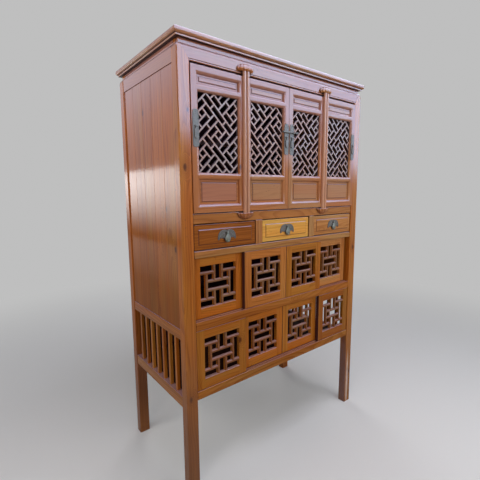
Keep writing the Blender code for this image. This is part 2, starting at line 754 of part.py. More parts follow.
def staple(x_mid, face_y, axis_y, z):
    """Two lugs on a plate and the wire between them that a pull hangs on."""
    inner = BARREL_W / 2 + WIRE_CLEAR
    outer = inner + LUG_T
    root = face_y + PLATE_T / 2
    reach = axis_y - WIRE_R - 0.0012
    lugs = []
    for side in (-1, 1):
        ends = (x_mid + side * inner, x_mid + side * outer)
        lugs.append(box(min(ends), max(ends), reach, root, z - LUG_H / 2, z + LUG_H / 2))
    wire = round_bar(axis_y, z, WIRE_R, x_mid - outer + LUG_T / 2, x_mid + outer - LUG_T / 2, "x", 12)
    return lugs + [wire]


def pull_barrel():
    """The eye of a pull, round the wire, its axis through the origin."""
    tube = round_bar(0, 0, BARREL_R, -BARREL_W / 2, BARREL_W / 2, "x", 16)
    bore = round_bar(0, 0, WIRE_R + WIRE_CLEAR, -BARREL_W, BARREL_W, "x", 12)
    return tube, bore


def tab_pull():
    """A flat rounded tab under its eye."""
    tube, bore = pull_barrel()
    neck = BARREL_W / 2 - 0.0008
    half = PULL_W / 2
    ring = [(-neck, -WIRE_R), (-neck, -0.18 * PULL_L), (-half, -0.34 * PULL_L)]
    for i in range(11):
        turn = math.pi * (1 + i / 10)
        ring.append((half * math.cos(turn), -PULL_L + half + half * math.sin(turn)))
    ring += [(half, -0.34 * PULL_L), (neck, -0.18 * PULL_L), (neck, -WIRE_R)]
    tab = prism(ring, -PULL_T / 2, PULL_T / 2, "y")
    return cut(joined(tube, tab), bore)


def pear_pull():
    """A pear-shaped drop under its eye."""
    tube, bore = pull_barrel()
    loops = []
    for k in range(11):
        share = k / 10
        swell = 0.22 + 0.78 * math.sin(math.pi * 0.95 * share ** 1.4)
        loop = []
        for i in range(16):
            turn = 2 * math.pi * i / 16
            loop.append((PEAR_W / 2 * swell * math.cos(turn), PEAR_T / 2 * swell * math.sin(turn),
                         -WIRE_R - share * (PEAR_L - WIRE_R)))
        loops.append(loop)
    return cut(joined(tube, loft(loops)), bore)


def make_door(index):
    """One door about its pivot rod: doors 1 and 3 reach left of the rod, doors 2 and 4 reach right."""
    reach = -1 if index % 2 else 1
    boundary = -HALF_OPEN + CELL_W * (index if reach < 0 else index - 1)
    pivot = (boundary + reach * PIVOT_INSET, PIVOT_Y, DOOR_Z)
    face = ROD_PROUD
    back = face + DOOR_T
    hinge_edge = -PIVOT_INSET + DOOR_GAP
    free_edge = CELL_W - PIVOT_INSET - DOOR_GAP
    x0 = hinge_edge + STILE_W
    x1 = free_edge - STILE_W
    heights = [DOOR_BOTTOM_RAIL]
    for step in (LOWER_PANEL_H, LOCK_RAIL, LATTICE_H, UPPER_RAIL, UPPER_PANEL_H):
        heights.append(heights[-1] + step)
    openings = [heights[0:2], heights[2:4], heights[4:6]]

    def span(a, b):
        return (min(reach * a, reach * b), max(reach * a, reach * b))

    left, right = span(x0, x1)
    holes = [rectangle(left, right, z0, z1) for z0, z1 in openings]
    frame = pierced(rectangle(*span(hinge_edge, free_edge), 0, DOOR_H), holes, face, back, edge_steps())
    for vert in frame.data.vertices:
        if abs(vert.co.x - reach * free_edge) < 1e-5 and abs(vert.co.y - back) < 1e-5:
            vert.co.x -= reach * FREE_EDGE_SLOPE
    z0, z1 = openings[1]
    seat = box(left - LATTICE_SEAT, right + LATTICE_SEAT, face + LATTICE_SET, back + 0.001,
               z0 - LATTICE_SEAT, z1 + LATTICE_SEAT)
    cut(frame, seat)
    for z0, z1 in (openings[0], openings[2]):
        board_y = face + DOOR_PANEL_SET
        board = box(left - PANEL_SEAT, right + PANEL_SEAT, board_y, board_y + DOOR_PANEL_T,
                    z0 - PANEL_SEAT, z1 + PANEL_SEAT)
        margin = min(FIELD_MARGIN, 0.2 * (z1 - z0))
        bevel = min(FIELD_BEVEL, 0.15 * (z1 - z0))
        field = raised_field(left, right, z0, z1, board_y, FIELD_RISE, margin, bevel)
        joined(frame, board, field)
    low = LOTUS_BOTTOM_RIM - DOOR_Z + FIT_GAP
    high = LOTUS_TOP_RIM - DOOR_Z - FIT_GAP
    rod = round_bar(0, 0, ROD_R, low, high, "z", 20)
    pins = round_bar(0, 0, PIN_R, low - PIN_L, high + PIN_L, "z", 16)
    joined(frame, rod, pins)
    door = place(frame, "door_%d_frame" % index, DOOR_LOOK, pivot, rounded=True)

    z0, z1 = openings[1]
    mid = (left + right) / 2
    half = (right - left) / 2
    rings = [[(mid + reach * p, q) for p, q in ring] for ring in fret_holes(half, z0, z1)]
    edge = LATTICE_SEAT - FIT_GAP
    y0 = face + LATTICE_SET + FIT_GAP
    lattice = pierced(rectangle(left - edge, right + edge, z0 - edge, z1 + edge), rings, y0, y0 + LATTICE_T)
    place(lattice, "door_%d_lattice" % index, LATTICE_LOOK, parent=door)

    plate_x = reach * (free_edge - STILE_W / 2)
    plate_y = face - FIT_GAP - PLATE_T
    plate = prism(plate_outline(plate_x, PLATE_RISE), plate_y, plate_y + PLATE_T, "y")
    axis_y = face - FIT_GAP - PULL_AXIS_OUT
    axis_z = PLATE_RISE + PLATE_H / 2 - PULL_DROP
    joined(plate, *staple(plate_x, plate_y, axis_y, axis_z))
    bolt_y = plate_y - SLEEVE_R + PLATE_T / 3
    bolt_z = PLATE_RISE + PLATE_H / 2 - BOLT_DROP
    if index in (2, 3):
        spans = [(free_edge - SLEEVE_L, free_edge)]
        if index == 3:
            ends = [free_edge - k * GUIDE_SPACING for k in range(2)]
            spans = [(end - GUIDE_L, end) for end in ends]
        sleeves = [round_bar(bolt_y, bolt_z, SLEEVE_R, *span(*ends), "x") for ends in spans]
        reach_in = span(free_edge - 2 * SLEEVE_L, free_edge + 0.01)
        bore = round_bar(bolt_y, bolt_z, BOLT_R + BOLT_CLEAR, *reach_in, "x")
        cut(joined(plate, *sleeves), bore)
    place(plate, "door_%d_plate" % index, METAL_LOOK, parent=door, rounded=True)
    place(tab_pull(), "door_%d_pull" % index, METAL_LOOK, (plate_x, axis_y, axis_z), door, rounded=True)
    if index == 3:
        tip = reach * free_edge
        loops = []
        sections = [(0, 0.8 * BOLT_R), (0.001, BOLT_R), (BOLT_L, BOLT_R), (BOLT_L, BOLT_HEAD_R)]
        sections += [(BOLT_L + 0.3 * BOLT_HEAD_L, BOLT_HEAD_R), (BOLT_L + BOLT_HEAD_L, 0.2 * BOLT_HEAD_R)]
        for out, radius in sections:
            loop = []
            for i in range(16):
                turn = 2 * math.pi * (i + 0.5) / 16
                loop.append((out, radius * math.cos(turn), radius * math.sin(turn)))
            loops.append(loop)
        place(loft(loops), "lock_bolt", METAL_LOOK, (tip, bolt_y, bolt_z), door, rounded=True)


def bat_outline(z_mid):
    """A bat with arched wings that droop at their tips, drawn as one half and mirrored."""
    half = [(0.0, 0.38), (0.07, 0.48), (0.20, 0.50), (0.38, 0.50), (0.56, 0.46), (0.73, 0.36), (0.88, 0.17),
            (0.97, -0.06), (1.0, -0.32), (0.95, -0.50), (0.88, -0.46), (0.82, -0.30), (0.74, -0.22),
            (0.63, -0.36), (0.51, -0.24), (0.39, -0.38), (0.27, -0.28), (0.15, -0.44)]
    ring = [(p * BAT_W / 2, z_mid + q * BAT_H) for p, q in half]
    ring += [(-p * BAT_W / 2, z_mid + q * BAT_H) for p, q in reversed(half) if p > 0]
    return ring


def make_drawer(k):
    name = "drawer_" + ("left", "middle", "right")[k]
    look = (DARK_LOOK, PALE_LOOK, PINE_LOOK)[k]
    x_mid = -HALF_OPEN + k * (BAY_W + DIVIDER_W) + BAY_W / 2
    origin = (x_mid, FRONT_Y + DRAWER_SET, DRAWER_Z + FIT_GAP)
    half = BAY_W / 2 - DRAWER_GAP
    height = DRAWER_OPENING_H - FIT_GAP - DRAWER_GAP
    front = box(-half, half, FIELD_RISE, DRAWER_FRONT_T, DRAWER_FOOT_GAP, height)
    field = raised_field(-half, half, DRAWER_FOOT_GAP, height, FIELD_RISE, FIELD_RISE,
                         DRAWER_FIELD_MARGIN - FIELD_BEVEL, FIELD_BEVEL)
    inner = half - DRAWER_SIDE_T
    tray = box(-half, half, DRAWER_FRONT_T - 0.002, DRAWER_L, 0, height - DRAWER_SIDE_DROP)
    hollow = box(-inner, inner, DRAWER_FRONT_T, DRAWER_L - DRAWER_SIDE_T, DRAWER_BOTTOM_T, height + 0.01)
    joined(front, field, cut(tray, hollow))
    drawer = place(front, name, look, origin)

    plate_y = -FIT_GAP - PLATE_T
    plate_z = height / 2 + 0.004
    plate = prism(bat_outline(plate_z), plate_y, plate_y + PLATE_T, "y")
    axis_y = -FIT_GAP - PULL_AXIS_OUT - PEAR_T / 6
    axis_z = plate_z + 0.22 * BAT_H
    joined(plate, *staple(0, plate_y, axis_y, axis_z))
    place(plate, name + "_plate", METAL_LOOK, parent=drawer, rounded=True)
    place(pear_pull(), name + "_pull", METAL_LOOK, (0, axis_y, axis_z), drawer, rounded=True)


def square_fret(x0, x1, z0, z1):
    """The thirteen openings of the square fret, on a grid of five holes and four bars each way."""
    units = 5 * FRET_HOLE_TO_BAR + 4
    x_unit = (x1 - x0) / units
    z_unit = (z1 - z0) / units
    step = FRET_HOLE_TO_BAR + 1

    def hole(c0, c1, r0, r1):
        return rectangle(x0 + x_unit * step * c0, x0 + x_unit * (step * c1 + FRET_HOLE_TO_BAR),
                         z0 + z_unit * step * r0, z0 + z_unit * (step * r1 + FRET_HOLE_TO_BAR))

    holes = [hole(1, 3, 2, 2)]
    for row, pair in ((0, (0, 1)), (4, (3, 4))):
        holes += [hole(0, 1, row, row), hole(3, 4, row, row), hole(2, 2, *pair)]
    for column in (0, 4):
        holes.append(hole(column, column, 1, 3))
    for column in (1, 3):
        holes += [hole(column, column, row, row) for row in (1, 3)]
    return holes


def make_slide(tier, index, z_open, height, track, ajar=0.0):
    """One sliding panel: a frame round a square fret, with a tongue above and below for its grooves."""
    width = CELL_W + 2 * SLIDE_OVERLAP - SLIDE_GAP
    outward = 1 if index > 2 else -1
    if index in (2, 3):
        x_mid = outward * (SLIDE_GAP / 2 + width / 2)
    else:
        x_mid = outward * (HALF_OPEN - SLIDE_GAP - width / 2)
    x_mid -= outward * ajar
    tall = height - 2 * SLIDE_GAP
    half = width / 2
    x1 = half - SLIDE_STILE
    z0 = SLIDE_BOTTOM_RAIL
    z1 = tall - SLIDE_TOP_RAIL
    panel = pierced(rectangle(-half, half, 0, tall), [rectangle(-x1, x1, z0, z1)], 0, SLIDE_T)
    seat = rectangle(-x1 - FRET_SEAT, x1 + FRET_SEAT, z0 - FRET_SEAT, z1 + FRET_SEAT)
    fret = pierced(seat, square_fret(-x1, x1, z0, z1), FRET_SET, FRET_SET + FRET_T)
    t0 = (SLIDE_T - TONGUE_T) / 2
    low = box(-half, half, t0, t0 + TONGUE_T, FIT_GAP - SLIDE_GAP - GROOVE_LOW, 0.004)
    high = box(-half, half, t0, t0 + TONGUE_T, tall - 0.004, tall + SLIDE_GAP + TONGUE_HIGH)
    joined(panel, fret, low, high)
    y = FRONT_Y + SLIDE_SET + track * TRACK_STEP
    place(panel, "slide_%s_%d" % (tier, index), PINE_LOOK, (x_mid, y, z_open + SLIDE_GAP))


make_posts()
make_top()
make_front_rails()
make_sides()
make_boards()
for lotus_side, lotus_name in ((-1, "left"), (1, "right")):
    make_lotus("lotus_top_" + lotus_name, lotus_side * CELL_W, LOTUS_TOP_RIM, 1)
    make_lotus("lotus_bottom_" + lotus_name, lotus_side * CELL_W, LOTUS_BOTTOM_RIM, -1)
for door_index in range(1, 5):
    make_door(door_index)
for drawer_index in range(DRAWERS):
    make_drawer(drawer_index)
for slide_index in range(1, 5):
    middle = slide_index in (2, 3)
    make_slide("upper", slide_index, UPPER_TIER_Z, UPPER_TIER_H, 0 if middle else 1,
               SLIDE_AJAR if slide_index == 4 else 0.0)
    make_slide("lower", slide_index, LOWER_TIER_Z, LOWER_TIER_H, 1 if middle else 0)
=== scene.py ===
"""Dresses the food cabinet: varnished pine with grain and knots, dull metal fittings, and a studio round it."""
import math
import random

import bmesh
import bpy
from mathutils import Matrix, Vector


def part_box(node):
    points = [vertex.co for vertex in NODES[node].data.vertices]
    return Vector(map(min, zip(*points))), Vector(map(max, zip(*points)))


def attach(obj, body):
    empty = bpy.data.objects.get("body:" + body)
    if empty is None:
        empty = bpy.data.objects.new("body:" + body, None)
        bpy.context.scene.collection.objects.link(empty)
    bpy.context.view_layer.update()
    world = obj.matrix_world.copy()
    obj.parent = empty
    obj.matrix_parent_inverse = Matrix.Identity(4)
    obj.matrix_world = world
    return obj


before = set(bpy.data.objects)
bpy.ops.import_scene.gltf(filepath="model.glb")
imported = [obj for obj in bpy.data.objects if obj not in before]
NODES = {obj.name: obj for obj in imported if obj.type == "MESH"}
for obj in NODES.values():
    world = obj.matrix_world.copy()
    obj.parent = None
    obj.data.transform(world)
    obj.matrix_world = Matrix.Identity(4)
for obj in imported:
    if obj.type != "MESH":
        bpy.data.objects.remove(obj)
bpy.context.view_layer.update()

# Sizes of the cabinet that the grain and the trim follow, in metres
FIT_GAP = 0.0003
FRONT_Y = -0.270
BODY_TOP = 1.7735
SIDE_TOP_RAIL_H = 0.0755
SIDE_BOARDS = 5
BACK_BOARDS = 6
GRILLE_BOARDS = 8
GRILLE_FOOT_H = 0.046
GRILLE_HEAD_H = 0.042
RAIL_MARGIN = 0.01
ABOVE_ALL = 9.0
DOOR_FOOT = 1.1675
DOOR_HEAD = 1.694
DOOR_STILE = 0.032
LATTICE_LAP = 0.0047
ROD_R = 0.0080
LOW_FIELD_RISE = 0.078
LOW_FIELD_HALF = 0.046
LOW_FIELD_MARGIN = 0.010
TOP_FIELD_DROP = 0.045
TOP_FIELD_HALF = 0.0155
TOP_FIELD_MARGIN = 0.0062
DRAWER_SET = 0.003
DRAWER_FOOT = 0.003
DRAWER_MARGIN = 0.0194
SLIDE_STILE = 0.038
SLIDE_FOOT = 0.043
SLIDE_FIELD_HALF = 0.086
SLIDE_RAIL = 0.04
TIER_FOOT = {"upper": 0.742, "lower": 0.452}
FRET_H = 0.170
FRET_UNITS = 14
FRET_SET = 0.004
FRET_SINK = 0.0004
FRET_ROUND = 0.0030
FRET_OUTER = (2.5, 11.5)
FRET_INNER = (5.5, 8.5)
FRET_PAST = 0.2
FRET_BAR_HALF = 0.5
FRET_STEPS = 10

# Varnished pine, the light and the dark of its grain
PINE = ((0.52, 0.175, 0.024), (0.27, 0.070, 0.008))
PINE_DOOR = ((0.45, 0.185, 0.070), (0.27, 0.092, 0.030))
PINE_LATTICE = ((0.39, 0.250, 0.215), (0.28, 0.170, 0.138))
PINE_DARK = ((0.36, 0.125, 0.020), (0.19, 0.055, 0.008))
PINE_PALE = ((0.80, 0.425, 0.097), (0.60, 0.27, 0.043))
PINE_RIGHT = ((0.53, 0.265, 0.092), (0.36, 0.150, 0.042))
PINE_FRIEZE = ((0.37, 0.135, 0.045), (0.22, 0.065, 0.020))
PINE_TOP = ((0.47, 0.220, 0.105), (0.29, 0.110, 0.050))
PINE_RAIL = ((0.47, 0.21, 0.066), (0.26, 0.090, 0.026))
PINE_TRACK = ((0.46, 0.185, 0.046), (0.25, 0.078, 0.017))
PINE_FRET = ((0.28, 0.122, 0.056), (0.16, 0.060, 0.024))
PINE_LOTUS = ((0.52, 0.210, 0.075), (0.27, 0.088, 0.026))
PINE_BACK = ((0.36, 0.165, 0.062), (0.20, 0.075, 0.024))
# Painted shade: near black for the floors and shelf, as the inside is in shade
PINE_INSIDE_SHADE = ((0.058, 0.021, 0.014), (0.032, 0.012, 0.008))
SLIDE_TONES = {"slide_upper_2": PINE_TRACK, "slide_upper_4": PINE_RAIL}
# How light each sliding panel is: partly its own tone, with painted shade on slide_lower_4 and painted light on
# slide_upper_4
SLIDE_TONE_AND_LIGHT = {"slide_upper_2": 1.10, "slide_upper_3": 0.90, "slide_upper_4": 1.14, "slide_lower_1": 0.84,
               "slide_lower_4": 0.70}

# Tints over the pine, among them painted shade, painted light and painted reflections
HONEY = (1.0, 1.12, 1.15)
RUDDY = (1.02, 0.88, 0.74)
KNOT = (0.085, 0.022, 0.006)
# Painted shade for corners, gaps, undersides and shaded faces, and also the tone of small dark specks
SHADE_AND_SPECK = (0.034, 0.012, 0.020)
# Painted reflection: a lavender sheen of the sky on faces that tilt a little upwards
UPWARD_SHEEN_TONE = (0.40, 0.31, 0.40)
# Darker, greyer tone that the lower part of a post or side turns towards
FOOT_TONE = (0.15, 0.080, 0.052)
# Painted reflection: a pinkish sky sheen that the upper parts turn towards
TOP_SHEEN_TONE = (0.37, 0.185, 0.165)
# Painted light: the lighter tone of the pivot rods
ROD_LIGHT = (0.66, 0.360, 0.240)
# Painted highlight and painted sheen for patches on the front right leg
PAINTED_GLINT = (0.95, 0.70, 0.56)
MAUVE_SHEEN = (0.36, 0.20, 0.19)
FIELDS = ((0.42, 0.190, 0.150), (0.44, 0.225, 0.120), (0.44, 0.230, 0.130), (0.46, 0.240, 0.145))

# Dull white copper, and the studio
PLATE_TONE = (0.23, 0.222, 0.218)
TRIM_TONE = (0.31, 0.30, 0.29)
BAT_TONE = (0.150, 0.134, 0.118)
PEAR_TONE = (0.190, 0.184, 0.140)
BAT_TRIM_TONE = tuple(1.5 * c for c in BAT_TONE)
PEAR_TRIM_TONE = tuple(1.35 * c for c in PEAR_TONE)
PEAR_METAL = 0.1
PALE = (0.52, 0.52, 0.52)
AMBIENT = (0.11, 0.112, 0.118)
FLOOR_PALE = (0.78, 0.775, 0.765)
FLOOR_DIM = (0.14, 0.135, 0.13)

# Knots and painted highlights at set places, the place with a size, or with sizes, a tone and a share; how far each
# post darkens towards its foot
POST_FOOT_DARKENING = {"front_left": 0.6, "front_right": 0.2, "back_left": 0.5, "back_right": 0.2}
POST_KNOTS = {"front_left": (((-0.530, FRONT_Y, 1.335), 0.010), ((-0.512, FRONT_Y, 1.535), 0.006))}
POST_GLINTS = {"front_right": (((0.519, FRONT_Y, 0.13), (0.0115, 0.012, 0.22), PAINTED_GLINT, 1.0),
                             ((0.500, -0.249, 0.15), (0.008, 0.040, 0.32), MAUVE_SHEEN, 0.8))}
DOOR_KNOTS = {1: (((-0.278, -0.273, 1.345), 0.008),)}

# First seeds of the looks
SEED = {"post": 11, "top": 21, "frieze": 31, "rail": 32, "side": 41, "grille": 45, "lotus": 51, "divider": 55,
        "back": 61, "inside": 62, "door": 70, "lattice": 75, "plate": 80, "pull": 85, "bolt": 90, "drawer": 101,
        "bat": 105, "pear": 108, "upper": 120, "lower": 130, "fret": 20, "plate_trim": 180, "pull_trim": 190,
        "bat_trim": 200, "pear_trim": 205}

# Patterns in the wood: the scales along the grain and across it, with detail and roughness
KNOT_CELLS = (7.0, 12.0, 12.0)
DRIFTS = ((1.1, 7.0, 7.0), 2.0, 0.5)
STREAKS = ((1.6, 70.0, 70.0), 4.0, 0.62)
FIBRES = ((9.0, 620.0, 620.0), 2.0, 0.6)
CLOUDS = ((2.2, 7.0, 7.0), 3.0, 0.55)
BLUSHES = ((1.3, 11.0, 11.0), 2.0, 0.5)
SPECKS = ((95.0, 210.0, 210.0), 1.0, 0.4)
SPECK_PATCHES = ((3.0, 9.0, 9.0), 2.0, 0.5)
GLINT_PATCHES = ((30.0, 120.0, 120.0), 3.0, 0.6)
SWELLS = ((5.0, 22.0, 22.0), 2.0, 0.5)
SHIFT = 9.0
REDDER = 0.12

# Between which values a pattern starts and is full
KNOT_CORE = (0.05, 0.13)
KNOT_HALO = (0.05, 0.42)
MARK_CORE = (0.35, 1.0)
MARK_HALO = (0.4, 3.2)
MARK_STRETCH = 0.55
LATE_WOOD = (0.35, 0.97)
STREAK_SPAN = (0.36, 0.68)
BLUSH_SPAN = (0.36, 0.64)
SPECK_SPAN = (0.70, 0.78)
SPECK_PATCH_SPAN = (0.5, 0.62)
GLINT_PATCH_SPAN = (0.35, 0.60)
GLINT_SPAN = (0.45, 1.0)
GLINT_LEAST = 0.65
OPEN_SPAN = (0.30, 0.86)
UNDER_SHADE_SPAN = (-0.96, -0.78)
UPWARD_SHEEN_SPAN = (0.10, 0.32)
ROD_SPAN = (-0.0012, 0.0)
RIM_SPAN = (-0.0018, -0.0008)
FIELD_SPAN = (-0.001, 0.001)
LINE_SPAN = (0.0007, 0.0026)

# How much each pattern counts
RING_ACROSS = 90.0
RING_DEEP = 55.0
RING_DRIFT = 15.0
RING_TURN = 5.0
LATE_DARK = 0.40
STREAK_DARK = 0.52
FIBRE_DARK = 0.30
CLOUD_DARK = 0.75
HALO_DARK = 0.30
CORE_DARK = 0.85
SPECK_DARK = 0.7
# Painted shade: how dark the corners, the lines round the fields and the upright edges of sliding panels get
CREVICE_DARK = 0.85
LINE_DARK = 0.50
RIM_DARK = 0.9
FIELD_SHARE = 0.45
# Painted light on the pivot rods, and how much of the painted shade they lose
ROD_SHARE = 0.6
ROD_LESS_SHADE = 0.85
MIDDLE = 0.5

# The varnish: its roughness, its relief, and the share of its shine below one height, full above another
ROUGH_CLOUD = 0.10
ROUGH_FIBRE = 0.05
ROUGH_IN_SHADE = 0.30
ROUGH_MOST = 0.20
ROUGH_GLOSS = 0.18
VARNISH_IOR = 1.45
LATE_RELIEF = 0.5
FIBRE_RELIEF = 0.5
SPECK_RELIEF = 1.5
GRAIN_DEPTH = 0.00004
DULL = (0.38, 0.75, 1.32)
SIDE_DULL = (0.05, 0.84, 1.12)

# The metal: its patterns, the tones of flecks, hollows and blotches as shares of its own, and how much each counts
BLOTCHES = ((55.0, 55.0, 55.0), 4.0, 0.6)
FLECKS = ((420.0, 420.0, 420.0), 3.0, 0.6)
SCRATCHES = ((60.0, 900.0, 900.0), 1.0, 0.5)
METAL_SHIFT = 5.0
BLOTCH_TONE = (0.80, 0.86, 0.80)
FLECK_TONE = 0.38
HOLLOW_TONE = 0.18
BLOTCH_SPAN = (0.35, 0.7)
FLECK_SPAN = (0.5, 0.75)
FLECK_SHARE = 0.6
HOLLOW_REACH = 0.004
HOLLOW_SPAN = (0.3, 0.95)
HOLLOW_DARK = 0.85
BLOTCH_ROUGH = 0.25
SCRATCH_ROUGH = 0.15
HOLLOW_ROUGH = 0.25
METAL_ROUGH = 0.30
METAL_SHINE = 0.12
SCRATCH_RELIEF = 0.6
METAL_DEPTH = 0.00016

# Edges: welding, the angle that counts as an edge, and the angle that stays sharp on new pieces
WELD = 2e-6
EDGE_ANGLE = math.radians(35)
CRISP = math.radians(42)

# Wires and bosses: their sides, a wire's tip as a share of its radius, a boss's root and its levels
WIRE_SIDES = 6
WIRE_TIP = 0.4
DOME_SIDES = 12
DOME_ROOT = -0.0004
DOME_LEVELS = ((1.0, 0.25), (0.82, 0.66), (0.45, 0.93))

# Trim of the door plates and of their tab pulls
PLATE_FACE_Y = -0.2751
PLATE_HALF = 0.013
PLATE_INSET = 0.0019
PLATE_FOOT = 0.55
PLATE_CHAMFER = 0.5
PLATE_ARCH = 1.1
RIM_R = 0.0008
NAIL = (0.0017, 0.0017, 0.0011)
NAIL_OUT = 0.0085
NAIL_PAIRS = (0.5, -0.12)
NAIL_DROP = 0.0095
NAIL_RISE = 0.0075
SCROLLS = ((0.0042, 0.70, 0.0040, 0.0052, 90, 170), (0.0036, -0.76, 0.0036, 0.0062, 100, 150))
SCROLL_R = 0.0006
PULL_EYE = 0.003
TAB_FACE_Y = -0.2800
TAB_HALF = 0.0085
TAB_L = 0.044
TAB_INSET = 0.0012
TAB_SHOULDER = 0.0155
TAB_NECK = 0.0090
TAB_NECK_HALF = 0.0030
TAB_RIM_R = 0.0007
TAB_OVAL = (0.027, 0.0034, 0.0085)
TAB_OVAL_R = 0.0005
TAB_STUD = (0.0016, 0.0016, 0.0009)
TAB_STUD_DROP = 0.0385

# Trim of the bat plates and of their pear pulls; the bat's half outline in shares of its half width and height
BAT_HALF = ((0.0, 0.38), (0.07, 0.48), (0.20, 0.50), (0.38, 0.50), (0.56, 0.46), (0.73, 0.36), (0.88, 0.17),
            (0.97, -0.06), (1.0, -0.32), (0.95, -0.50), (0.88, -0.46), (0.82, -0.30), (0.74, -0.22),
            (0.63, -0.36), (0.51, -0.24), (0.39, -0.38), (0.27, -0.28), (0.15, -0.44))
BAT_T = 0.0018
BAT_FACE_Y = FRONT_Y + DRAWER_SET - FIT_GAP - BAT_T
BAT_RIM = (0.965, 0.93)
RIB_ROOT = (0.16, 0.18)
RIB_TIPS = ((0.90, -0.36), (0.64, -0.24), (0.40, -0.24))
RIB_BEND = (0.8, 1.9)
RIB_STEPS = 7
RIB_R = 0.0007
BAT_NAIL = (0.0018, 0.0018, 0.0012)
BAT_NAIL_PLACE = (0.55, 0.27)
BAT_EYE = (0.0011, 0.0011, 0.0009)
BAT_EYE_PLACE = (0.09, 0.40)
PEAR_HALF = 0.014
PEAR_DEPTH = 0.0045
PEAR_NECK = 0.22
PEAR_L = 0.0387
PEAR_DROP = 0.0013
PEAR_STEPS = 20
PEAR_FIRST = 3
PEAR_TURN = 0.95
PEAR_BEND = 1.4
PEAR_RIDGES = (-0.5, 0.0, 0.5)
PEAR_RIDGE_R = 0.0006
PEAR_STUD = (0.0035, 0.0030, 0.0012)
PEAR_STUD_DROP = 0.034
PEAR_STUD_OUT = 0.75

# The studio: lamps by place, aim, size, power, colour; cards by corners, colour, strength, fade, base, lean
FLOOR_HALF = 40
FLOOR_NEAR = 1.0
FLOOR_FAR = 3.6
FLOOR_ROUGH = 0.85
FLOOR_SHINE = 0.1
WHITE = (1.0, 1.0, 1.0)
LAMPS = {
    "key": ((0.50, -2.1, 1.60), (0.2, 0.0, 1.25), (1.6, 0.8), 17, WHITE),
    "fill": ((-2.5, 0.1, 2.05), (-0.5, 0.0, 1.50), (1.4, 0.9), 17, WHITE),
    "back": ((1.6, 3.0, 2.6), (0.0, 0.0, 1.2), (2.4, 1.6), 36, WHITE),
    "front": ((-2.4, -1.7, 1.5), (-0.1, -0.27, 1.30), (1.2, 1.0), 15, (1.0, 0.90, 0.82)),
    "right": ((1.9, -1.6, 1.25), (0.5, -0.27, 1.10), (0.8, 0.6), 5, WHITE),
    "over": ((0.1, -1.0, 3.7), (0.1, -0.2, 1.0), (2.2, 1.2), 34, (0.90, 0.90, 1.0)),
}
CARDS = {
    "sky": (((-1.5, -3.3, 2.10), (8.5, -3.3, 0.95), (8.5, -3.3, 5.15), (-1.5, -3.3, 6.3)),
            (0.46, 0.66, 1.0), 14.0, 0.13, 0.0, 0.55),
    "sky_side": (((-3.0, 9.0, 1.72), (-3.0, 3.2, 1.72), (-3.0, 3.2, 5.0), (-3.0, 9.0, 5.0)),
                 (0.90, 0.86, 1.0), 1.9, 0.7, 0.75, 1.0),
    "window": (((-3.0, 9.0, 0.22), (-3.0, 3.2, 0.22), (-3.0, 3.2, 1.716), (-3.0, 9.0, 1.716)),
               (0.97, 0.99, 1.0), 4.7, 0.92, 0.0, 1.0),
    "zenith": (((-4.0, -5.0, 4.6), (5.0, -5.0, 4.6), (5.0, 2.0, 4.6), (-4.0, 2.0, 4.6)),
               (0.66, 0.74, 1.0), 8.0, 0.9, 8.0, 1.0),
}
CARD_LEAN = (0.25, 0.75)

# The photograph's viewpoint: yaw, pitch and roll in degrees, place, and focal length in pixels of its width
VIEW_TURNS = (38.3178, -7.9919, -0.4406)
VIEW_PLACE = (-1.1557, -1.3772, 1.246)
FOCAL_PX = 343.66
IMAGE_PX = 480.0
SENSOR = 36.0


